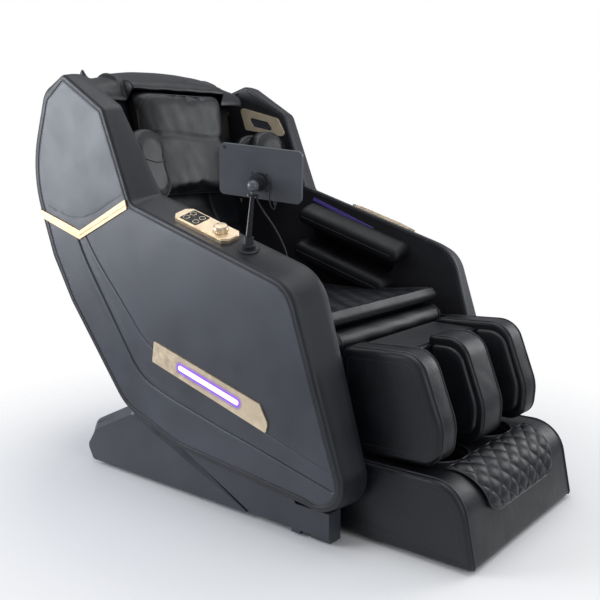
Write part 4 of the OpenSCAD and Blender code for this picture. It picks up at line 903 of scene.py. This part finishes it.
def arm_pad(form, across, length, height, depth, droop, seed):
    bar = outline([
        [-length / 2, -height / 2, height * 0.46], [-length / 2, height / 2, height * 0.46],
        [length / 2, height / 2, height * 0.46], [length / 2, -height / 2, height * 0.46],
    ], 12)
    bar = spaced(bar[:, :2], 5, closed=True)
    bar = np.hstack([bar, normals_of(bar)])
    loops = []
    for share, drawn in ((0, 0.32), (0.02, 0.23), (0.05, 0.165), (0.10, 0.11), (0.18, 0.06), (0.30, 0.03),
                         (0.45, 0.01), (0.65, 0), (0.85, 0.0), (1, 0.05)):
        x = LINER - 0.3 - depth * (1 - share)
        pull = drawn * height - wobble(bar[:, 0], np.full(len(bar), x), 1.0, 60, seed) * (0.2 < share < 0.9)
        flat = bar[:, :2] - bar[:, 2:4] * np.broadcast_to(pull, len(bar))[:, None]
        sag = droop * (1 - share) ** 1.5
        loops.append([arm_point(x, p[0] - sag * 0.3, p[1] + across - sag) for p in flat])
    form.skin(loops)


for name, across, length, height, depth, droop in (("upper", 54, 372, 50, 62, 14), ("lower", -54, 344, 56, 66, 8)):
    form = Form()
    arm_pad(form, across, length, height, depth, droop, len(name) + height)
    form.mirrored()
    pads = form.make(f"{name}_arm_cushions", arm_pad_leather_painted_shade, sharp=60)
    dress(pads, "capsule", [f"{name}_arm_pads"])
    for s, side in ((1, "left"), (-1, "right")):
        a = np.linspace(-length / 2 + 22, length / 2 - 22, 60)
        line = [arm_point(s * (LINER - depth - 20), v, across - droop) for v in a]
        row = laid_on(pads, line, (s, 0, 0), 0.1)
        trim(f"{name}_arm_seam_{side}", "capsule", [(row, False)], [], 1.3)
print("arm pads done")

# %% Shoulder pads
def shoulder_frame(x0, y0, p):
    """From a pad's own frame (x towards the middle, y back, z up) to the chair's left side."""
    x, y, z = -p[0], p[1], p[2]
    t = math.radians(-8)
    x, y = x * math.cos(t) - y * math.sin(t), x * math.sin(t) + y * math.cos(t)
    t = math.radians(-14)
    y, z = y * math.cos(t) - z * math.sin(t), y * math.sin(t) + z * math.cos(t)
    return [x0 + x, y0 + y, 743 + z]


for name, x0, y0, w, h, thick, creased in (("front", 308.48, 274, 132, 203, 56, True), ("rear", 309.34, 333, 150, 190, 40, False)):
    oval = outline([[0, 0, w * 0.35], [0, h, w * 0.5], [w, h * 0.94, w * 0.45], [w, 0, w * 0.4]], 6)
    flat = spaced(oval[:, :2], 6, closed=True)
    out_n = normals_of(flat)
    form = Form()
    loops = []
    for deep, drawn in ((0, 0.20), (0.05, 0.12), (0.12, 0.07), (0.25, 0.02), (0.4, 0), (0.6, 0.01), (0.75, 0.04),
                        (0.86, 0.10), (0.94, 0.17), (0.98, 0.25), (1, 0.36)):
        ring = flat - out_n * drawn * thick
        ring = ring + out_n * np.asarray(wobble(flat[:, 0], flat[:, 1], 0.9, 60, 31))[:, None] * (0.2 < deep < 0.9)
        loops.append([shoulder_frame(x0, y0, (q[0], thick * deep, q[1])) for q in ring])
    form.skin(loops)
    form.mirrored()
    pad = form.make(f"shoulder_cushions_{name}", finish["black_leather"], sharp=60)
    blow_up(pad, cap=4, voxel=5)
    dress(pad, "capsule", [f"shoulder_pads_{name}"])
    lines = []
    ahead = np.array(shoulder_frame(0, 0, (0, 1, 0))) - shoulder_frame(0, 0, (0, 0, 0))
    for s in (1, -1):
        face = [np.array(shoulder_frame(x0, y0, (q[0], -30, q[1]))) * [s, 1, 1] for q in flat - out_n * 9]
        lines.append((laid_on(pad, face, ahead * [s, 1, 1], 0.1), True))
        if creased:
            cut = [np.array(shoulder_frame(x0, y0, (v, -30, h * 0.52 + 4 * math.sin(v / 16)))) * [s, 1, 1] for v in range(10, w - 8, 5)]
            lines.append((laid_on(pad, cut, ahead * [s, 1, 1], 0.1), False))
    trim(f"shoulder_piping_{name}", "capsule", lines, [], 1.9)
print("shoulder pads done")

# %% [markdown]
# ## The seat
# The seat is sewn in diamonds about six centimetres wide. Every stitch line pulls the foam
# down, and every diamond swells between four lines. A round roll closes its front edge.

# %% Seat cushion
def puff(a, b, power=0.55):
    """Height of a quilt, 0 on the stitch lines and 1 in the middle of a diamond."""
    return np.abs(np.cos(math.pi * (a + b) / 2) * np.cos(math.pi * (a - b) / 2)) ** power


def seat_height(y):
    front = 505 - 27 * np.sin(math.pi / 2 * (y + 262) / 322)
    rear = 478 + 52 * ((np.maximum(y, 60) - 60) / 292) ** 2
    return np.where(y < 60, front, rear)


form = Form()
loops = []
columns = np.concatenate([[-246, -244, -241, -237], np.linspace(-232, 232, 113), [237, 241, 244, 246]])
for x in columns:
    side = max(0.0, abs(x) - 232)
    drop = 14 * (side / 14) ** 2.2
    shrink = 8 * (side / 14) ** 2
    t = np.linspace(0, 1, 121)
    y = (-262 + shrink) * (1 - t) + (352 - shrink) * t
    rim = min(1, max(0, 224 - abs(x)) / 16) * np.clip((y + 254) / 12, 0, 1)
    low = 0.6 + 6.6 * (1 - puff((x + 232) / 29, t * 20)) * rim
    z = seat_height(y) - drop - low + wobble(np.full(len(y), x), y, 0.7, 120, 41)
    row = np.column_stack([y, z])
    nose = [[-266, 472 + drop * 0.4], [-270, 478], [-271.5, 484], [-270.5, 490 - drop * 0.3], [-267.5, 496 - drop * 0.5]]
    tail = [[360 - shrink, 508], [358, 490], [352, 478], [300, 448], [236, 428.4], [-220, 428.4], [-232, 466], [-258, 469]]
    flat = np.vstack([nose, row, tail])
    loops.append(np.column_stack([np.full(len(flat), x), flat]))
form.skin(loops)
seat = form.make("seat_upholstery", finish["black_leather"], sharp=60)
dress(seat, "capsule", ["seat_cushion"])
rows = []
for k in range(-15, 17, 2):
    for way in (1, -1):
        run = []
        for i in np.arange(0, 16.01, 0.2):
            j = way * (i - (0 if way > 0 else 16)) + k
            if 0.3 < j < 19.7:
                run.append([-232 + 29 * i, -262 + 30.7 * j, 700])
        if len(run) > 4:
            line = laid_on(seat, run, (0, 0, -1), 0.0)
            rows.append(line)
edge_line = [[-228, y, 700] for y in range(-250, 340, 6)]
welt = [(laid_on(seat, np.array(edge_line) * [s, 1, 1], (0, 0, -1), 0.1), False) for s in (1, -1)]
trim("seat_stitching", "capsule", welt, rows, 1.6)
print("seat rows", len(rows))

# %% Seat roll
form = Form()
loops = []
for x in np.concatenate([[-236, -235, -232, -228], np.linspace(-222, 222, 75), [228, 232, 235, 236]]):
    side = max(0.0, abs(x) - 226)
    r = 29 - 5 * (side / 10) ** 2
    a = np.linspace(0, 2 * math.pi, 48, endpoint=False)
    r = r + (0.8 * np.sin(a * 3 + x / 31) * np.sin(x / 47) - 0.5 if side == 0 else 0) - 0.4
    loops.append(np.column_stack([np.full(48, x), -262 - r * np.cos(a), 430 + r * np.sin(a)]))
form.skin(loops)
roll = dress(form.make("seat_roll_leather", finish["black_leather"], sharp=60), "capsule", ["seat_roll"])
lines = []
for x in (-224, 224):
    lines.append(([[x, -262 - 28.6 * math.cos(a), 430 + 28.6 * math.sin(a)] for a in np.linspace(0, 2 * math.pi, 40, endpoint=False)], True))
trim("seat_roll_piping", "capsule", lines, [], 1.8)
print("seat roll done")

# %% [markdown]
# ## The calf rest
# Three ridges of foam part two wells for the calves. Every ridge is a side-view outline
# carried across its width and rounded over, with piping where its side panel is sewn in.

# %% Calf ridges
def ridge(form, corners, x0, x1, r0, r1, seed):
    line = outline(corners, 6)
    flat = spaced(line[:, :2], 7, closed=True)
    n = normals_of(flat)
    loops = []
    spots = [(x0 + r0 * (1 - math.sin(a)), r0 * (1 - math.cos(a))) for a in np.radians(np.arange(90, -1, -15))]
    inner = np.linspace(x0 + r0, x1 - r1, 8)[1:-1]
    spots += [(x, -1.6 * math.sin(math.pi * (x - x0 - r0) / (x1 - x0 - r0 - r1))) for x in inner]
    spots += [(x1 - r1 * (1 - math.sin(a)), r1 * (1 - math.cos(a))) for a in np.radians(np.arange(0, 91, 15))]
    for x, d in spots:
        pull = d + (wobble(flat[:, 0] + x, flat[:, 1], 0.9, 70, seed) if d else 0)
        loops.append(np.column_stack([np.full(len(flat), x), flat - n * np.broadcast_to(pull, len(flat))[:, None]]))
    form.skin(loops)
    return flat, n


OUTER = [[-560, 205, 45], [-566, 290, 100], [-505, 446, 60], [-302, 434, 22], [-302, 196, 20]]
MIDDLE = [[-560, 205, 45], [-566, 290, 100], [-505, 446, 60], [-416.3, 441, 8], [-416.3, 198, 8]]
form = Form()
flat, n = ridge(form, OUTER, 172, 248, 9, 12, 51)
form.mirrored()
mid, mid_n = ridge(form, MIDDLE, -50, 50, 7, 7, 52)
ridges = form.make("calf_cushions", finish["black_leather"], sharp=60)
dress(ridges, "calf_rest", ["calf_ridges"])
lines = []
for s in (1, -1):
    for x in (234.5, 181.5):
        ring = flat + n * 0.4
        lines.append((np.column_stack([np.full(len(ring), s * x), ring]), True))
    ring = mid + mid_n * 0.5
    lines.append((np.column_stack([np.full(len(ring), s * 42.5), ring]), True))
rows_at = flat - n * 22
trim("calf_piping", "calf_rest", lines,
     [np.column_stack([np.full(len(rows_at), s * 248.0), rows_at]) for s in (1, -1)], 1.9)
print("ridge outline", len(flat))

# %% Calf linings
form = Form()
FLAP = [[-547, 222, 40], [-552, 294, 84], [-503, 426, 50], [-431, 424, 10], [-431, 212, 10]]
PAD = [[-428, 206, 5], [-428, 424, 5], [-416.3, 424, 3], [-416.3, 206, 3]]


def slab(form, corners, spots):
    line = outline(corners, 9)
    form.skin([np.column_stack([np.full(len(line), x), line[:, :2] - line[:, 2:4] * d]) for x, d in spots])


slab(form, PAD, [(51, 4), (52.5, 1.6), (55, 0), (90, -0.6), (130, -0.6), (167, 0), (169, 1.6), (170, 4)])
slab(form, FLAP, [(157, 7), (158, 4), (160, 1.4), (162.5, 0), (168.5, 0), (170.5, 1.4), (171.7, 3)])
slab(form, FLAP, [(50.3, 3), (51.5, 1.4), (53, 0), (59.5, 0), (62, 1.4), (63.5, 4), (64, 7)])
form.mirrored()
linings = form.make("calf_well_pads", finish["black_leather"], sharp=50)
dress(linings, "calf_rest", ["calf_linings"])
flap = outline(FLAP, 9)
inset = flap[:, :2] - flap[:, 2:4] * 9
trim("calf_well_stitches", "calf_rest", [],
     [np.column_stack([np.full(len(inset), x), inset]) for x in (157.2, -157.2, 63.9, -63.9)])
print("well pads done")

# %% [markdown]
# ## The foot rest
# The foot rest is a padded box with a round shoulder. Two round wells are cut into it, and
# each is lined with gathered leather. Its round front carries a quilted panel, sewn on all
# round, whose diamonds follow the curve.

# %% Foot box
FOOT = 270
WELLS = ((110, -478), (-110, -478))


def top_z(y):
    return 184 + 6 * (-290 - y) / 334


line = outline([[-662, 8, 8], [-624, 190, 84], [-290, 184, 10], [-290, 8, 14]], 4)
flat = spaced(line[:, :2], 7, closed=True)
n = normals_of(flat)
form = Form()
loops = []
for a in np.radians(np.arange(90, -1, -15)):
    loops.append(np.column_stack([np.full(len(flat), -FOOT + 10 * (1 - math.sin(a))), flat - n * 10 * (1 - math.cos(a))]))
for x in np.linspace(-FOOT + 10, FOOT - 10, 14)[1:-1]:
    soft = wobble(flat[:, 0], np.full(len(flat), x), 0.7, 110, 61) * (flat[:, 1] > 30)
    loops.append(np.column_stack([np.full(len(flat), x), flat + n * soft[:, None]]))
for a in np.radians(np.arange(0, 91, 15)):
    loops.append(np.column_stack([np.full(len(flat), FOOT - 10 * (1 - math.sin(a))), flat - n * 10 * (1 - math.cos(a))]))
form.skin(loops)
box = form.make("foot_box", finish["black_leather"], sharp=60)
for k, (wx, wy) in enumerate(WELLS):
    cutter = Form()
    ring = [(wx + 73 * math.cos(a), wy + 73 * math.sin(a)) for a in np.linspace(0, 2 * math.pi, 72, endpoint=False)]
    cutter.skin([[[x, y, z] for x, y in ring] for z in (45, 260)])
    tool = cutter.make(f"well_cutter_{k}")
    cut = box.modifiers.new("well", "BOOLEAN")
    cut.object = tool
    cut.solver = "EXACT"
    swap_mesh(box)
    bpy.data.objects.remove(tool)
box.data.set_sharp_from_angle(angle=math.radians(50))
dress(box, "foot_rest", ["foot_block"])
lines, rows = [], []
for wx, wy in WELLS:
    a = np.linspace(0, 2 * math.pi, 80, endpoint=False)
    rim_line = np.column_stack([wx + 75.5 * np.cos(a), wy + 75.5 * np.sin(a), top_z(wy + 75.5 * np.sin(a)) + 0.6])
    lines.append((rim_line, True))
for s in (1, -1):
    ring = flat + n * 0.4
    lines.append((np.column_stack([np.full(len(ring), s * 257), ring]), True))
    inside = spaced(flat - n * 26, 6, closed=True)
    rows.append(np.column_stack([np.full(len(inside), s * 270.1), inside]))
seam = [[x, -372, 300] for x in range(-256, 257, 6)]
rows.append(laid_on(box, seam, (0, 0, -1), 0.1))
trim("foot_box_piping", "foot_rest", lines, rows, 2.0)
print("foot box", len(box.data.polygons))

# %% Well linings
form = Form()
around = np.linspace(0, 2 * math.pi, 120, endpoint=False)
rng = np.random.default_rng(77)
folds = sum(rng.uniform(0.3, 1) * np.cos(k * around + rng.uniform(0, 6.28)) for k in (5, 8, 13, 21, 26)) / 2.6
for wx, wy in WELLS:
    loops = []
    for r, z, gather in ((20, 46, 0), (70, 46, 0), (72.4, 50, 0), (72.4, 120, 0), (72.4, 174, 0), (71.5, 178.5, 0),
                         (69.5, 180, 0.3), (67, 178.5, 0.8), (65.4, 172, 1.5), (65, 150, 2.2), (65, 110, 2.4), (65, 75, 2.0),
                         (63, 62, 1.2), (56, 57, 0.6), (54, 59.5, 0.4), (46, 61.5, 0.4), (20, 61, 0.2)):
        reach = r + gather * folds
        loops.append(np.column_stack([wx + reach * np.cos(around), wy + reach * np.sin(around),
                                      z + gather * 0.7 * np.roll(folds, 7)]))
    form.skin(loops)
cups = form.make("foot_well_linings", finish["black_leather"], sharp=60)
dress(cups, "foot_rest", ["foot_linings"])
print("linings done")

# %% Quilted front
curve = [c[:4] for c in corner_arc([-650, 99], [-625, 191, 84], [-553, 189.2], 3)]
start_n, end_n = unit([-(191 - 99), 25]), unit([-1.8 / 72, 1])
curve = np.array([[-650, 99, *start_n], *curve, [-553, 189.2, 0.025, 1.0]])
curve = spaced(curve, 100 / 40.0)
curve[:, 2:4] /= np.linalg.norm(curve[:, 2:4], axis=1)[:, None]
form = Form()
loops = []
COLS, ROWS, STEP = 14, 6, 10
share = np.linspace(0, 1, ROWS * STEP + 1)


def quilt_half(t):
    """Half the panel's width: wider towards the top, with round lower corners."""
    return 162 + 38 * t - 34 * max(0.0, 1 - t / 0.2) ** 2.5


at = np.linspace(0, len(curve) - 1, ROWS * STEP + 1)
spine = np.stack([np.interp(at, range(len(curve)), curve[:, k]) for k in range(4)], 1)
wide = np.linspace(-1, 1, COLS * STEP + 1)
for t, (y, z, ny, nz) in zip(share, spine):
    i = (wide + 1) / 2 * COLS
    rise = 3.8 + 4.8 * puff(i, np.full(len(i), t * ROWS))
    rim_fade = np.minimum(1, np.minimum((1 - np.abs(wide)) * 14, min(t, 1 - t) * 13 + 0.0))
    rise = 1.2 + (rise - 1.2) * np.clip(rim_fade, 0, 1) ** 0.5
    x = wide * quilt_half(t)
    front = np.column_stack([x, y + ny * rise, z + nz * rise])
    base = np.column_stack([x, np.full(len(x), y + ny * 0.3), np.full(len(x), z + nz * 0.3)])
    loops.append(np.vstack([front, base[::-1]]))
form.skin(loops)
quilt = form.make("foot_quilt_panel", finish["black_leather"], sharp=60)
dress(quilt, "foot_rest", ["foot_quilt"])
rows = []


def on_quilt(i, t, lift):
    k = t * (len(spine) - 1)
    y, z, ny, nz = [np.interp(k, range(len(spine)), spine[:, c]) for c in range(4)]
    return [(2 * i / COLS - 1) * quilt_half(t), y + ny * lift, z + nz * lift]


for k in range(-7, COLS + 8, 2):
    for way in (1, -1):
        run = []
        for j in np.arange(0.25, ROWS - 0.2, 0.25):
            i = k + way * j
            if 0.35 < i < COLS - 0.35:
                run.append(on_quilt(i, j / ROWS, 4.9))
        if len(run) > 3:
            rows.append(run)
border = [on_quilt(0.02, t, 2.2) for t in np.linspace(0, 1, 24)] + [on_quilt(i, 0.998, 2.2) for i in np.linspace(0.4, COLS - 0.4, 50)]
border += [on_quilt(COLS - 0.02, t, 2.2) for t in np.linspace(1, 0, 24)] + [on_quilt(i, 0.002, 2.2) for i in np.linspace(COLS - 0.4, 0.4, 50)]
trim("foot_quilt_stitching", "foot_rest", [(border, True)], rows, 1.5)
print("quilt loops", len(loops))

# %% [markdown]
# ## Controls and small things
# The control panel has a sunk dark face round its keys and a bright ring round the knob.
# Screws and the tablet's lens are small, but they give the hard parts their scale.

# %% Control panel
def on_arm(side, x, y, p):
    """From a panel's own frame on the sloping arm, in millimetres, to the chair's."""
    a = side * crown_tilt
    px, py, pz = p
    pz += 0.2
    px, pz = px * math.cos(a) + pz * math.sin(a), -px * math.sin(a) + pz * math.cos(a)
    pz += (370 - x) * math.tan(crown_tilt)
    py, pz = py * math.cos(slope) - pz * math.sin(slope), py * math.sin(slope) + pz * math.cos(slope)
    return [side * x + px, y + py, arm_z(y) + pz]


def plate(form, corners, z0, z1, tag, where, bevel=0.6):
    line = outline(corners, 12)
    form.skin([[where([*(p[:2] - p[2:4] * d), z]) for p in line] for z, d in ((z0, 0), (z1 - bevel, 0), (z1, bevel))], tag)


def ring_at(form, centre, r, thick, z, tag, where, n=40):
    form.tube([where([centre[0] + r * math.cos(a), centre[1] + r * math.sin(a), z]) for a in np.linspace(0, 2 * math.pi, n, endpoint=False)],
              thick, tag, 8, True)


def right_arm(p):
    return on_arm(-1, 331, 34, p)


form = Form()
for x in (-11, 11):
    for y in (26, 58):
        ring_at(form, (x, y), 7.6, 0.8, 11.2, 0, right_arm)
ring_at(form, (0, -48), 19.6, 1.0, 11.3, 0, right_arm)
polished_gold = metal("polished_gold", (0.92, 0.78, 0.58), 0.2)
dress(form.make("panel_rings", polished_gold), "capsule")
form = Form()
for k in range(24):
    a = 2 * math.pi * k / 24
    form.tube([right_arm([18.2 * math.cos(a), -48 + 18.2 * math.sin(a), z]) for z in (12.5, 15, 19)], 0.55, 0, 6)
dress(form.make("knob_ribs", polished_gold), "knob")
form = Form()
plate(form, [[-25, 70, 5], [25, 70, 5], [25, 12, 5], [-25, 12, 5]], 10.9, 11.5, 0, right_arm, 0.4)
face = form.make("panel_face", finish["black_plastic"])
tools = Form()
for x in (-11, 11):
    for y in (26, 58):
        ring = [(x + 7.0 * math.cos(a), y + 7.0 * math.sin(a)) for a in np.linspace(0, 2 * math.pi, 32, endpoint=False)]
        tools.skin([[right_arm([p, q, z]) for p, q in ring] for z in (5, 20)])
tool = tools.make("panel_cutter")
cut = face.modifiers.new("holes", "BOOLEAN")
cut.object = tool
cut.solver = "EXACT"
swap_mesh(face)
bpy.data.objects.remove(tool)
dress(face, "capsule")
for key, x, y in (("power", -11, 58), ("pause", 11, 58), ("auto", -11, 26), ("air", 11, 26)):
    mark = Form()
    ring_at(mark, (x, y), 2.3, 0.28, 12.9, 0, right_arm, 20)
    if key in ("power", "pause"):
        mark.tube([right_arm([x, y + v, 12.9]) for v in (-0.6, 1.2, 3.0)], 0.28, 0, 6)
    dress(mark.make(f"{key}_mark", thread), f"{key}_key")
pointer = Form()
pointer.tube([right_arm([0, -48 + v, 26.6]) for v in (7, 10, 12)], 0.7, 0, 6)
dress(pointer.make("knob_pointer", seam_dark), "knob")
print("panel done")

# %% Tablet, clamp and screws
def back_of_tablet(p):
    """From the tablet's back, seen from outside (x to the right, y up), to the chair's frame."""
    return at_ball((1 + p[0], 30 - p[2], 22.5 + p[1])) / MM


def dome(form, centre, steps, tag, where, n=24):
    around = np.linspace(0, 2 * math.pi, n, endpoint=False)
    form.skin([[where([centre[0] + r * math.cos(a), centre[1] + r * math.sin(a), z]) for a in around] for r, z in steps], tag)


form = Form()
plate(form, [[-101, 57, 7], [101, 57, 7], [101, 45, 3], [-101, 45, 3]], -0.2, 0.35, 0, back_of_tablet, 0.2)
ring_at(form, (-90, 51), 3.4, 0.5, 0.5, 1, back_of_tablet, 24)
dome(form, (-90, 51), ((3, 0.1), (3, 0.5), (1.2, 0.75)), 1, back_of_tablet)
for k in range(4):
    a = math.pi / 4 + k * math.pi / 2
    dome(form, (-1 + 27 * math.cos(a), -19.5 + 27 * math.sin(a)), ((2.4, 0), (2.4, 0.7), (1.6, 1.1)), 1, back_of_tablet, 16)
dress(form.make("tablet_back_details", finish["dark_metal"], finish["black_plastic"]), "tablet")


def screw(form, centre, outward, r=3.2):
    c, o = np.array(centre, float), unit(outward)
    side = unit(np.cross(o, [0, 0, 1] if abs(o[2]) < 0.9 else [1, 0, 0]))
    up = np.cross(o, side)
    form.skin([[c + o * z + k * (side * math.cos(a) + up * math.sin(a)) for a in np.linspace(0, 2 * math.pi, 18, endpoint=False)]
               for k, z in ((r, -0.5), (r, 0.6), (r * 0.8, 1.2), (r * 0.4, 1.25), (r * 0.36, 0.5))])


form = Form()
for s in (-1, 1):
    for y, z in ((575, 560), (630, 655), (656, 780), (622, 925)):
        hit = laid_on(frame["nodes"]["rear_cover"], [[s * 278, 900, z]], (0, -1, 0), 0)
        if len(hit):
            screw(form, hit[0], (0, 1, 0.1))
dress(form.make("rear_cover_screws", finish["dark_metal"]), "capsule")
form = Form()
for s in (-1, 1):
    for y in (-318, -300):
        screw(form, (s * 338, y, 40), (s, 0, 0), 2.6)
dress(form.make("skirt_screws", finish["dark_metal"]), "base")
print("small parts done")

# %% [markdown]
# ## Floor
# The chair stands on a plain pale floor.

# %% Floor
ground = Form()
ground.add([[-9000, -9000, -0.6], [9000, -9000, -0.6], [9000, 9000, -0.6], [-9000, 9000, -0.6]], [[0, 1, 2, 3]])
paper, paper_tree, paper_bsdf = begin("paper_floor", (0.93, 0.93, 0.935), 0.8)
paper_tree.links.new(spread(paper_tree, noise(paper_tree, place(paper_tree), 3, 3), 0.76, 0.84), paper_bsdf.inputs["Roughness"])
reach = node(paper_tree, "ShaderNodeVectorMath", operation="LENGTH")
paper_tree.links.new(place(paper_tree), reach.inputs[0])
clear = node(paper_tree, "ShaderNodeBsdfTransparent")
fade = node(paper_tree, "ShaderNodeMixShader")
paper_tree.links.new(spread(paper_tree, reach.outputs["Value"], 0, 1, 0.70, 1.35), fade.inputs[0])
paper_tree.links.new(paper_bsdf.outputs[0], fade.inputs[1])
paper_tree.links.new(clear.outputs[0], fade.inputs[2])
paper_tree.links.new(fade.outputs[0], paper_tree.nodes["Material Output"].inputs["Surface"])
ground.make("floor", paper)
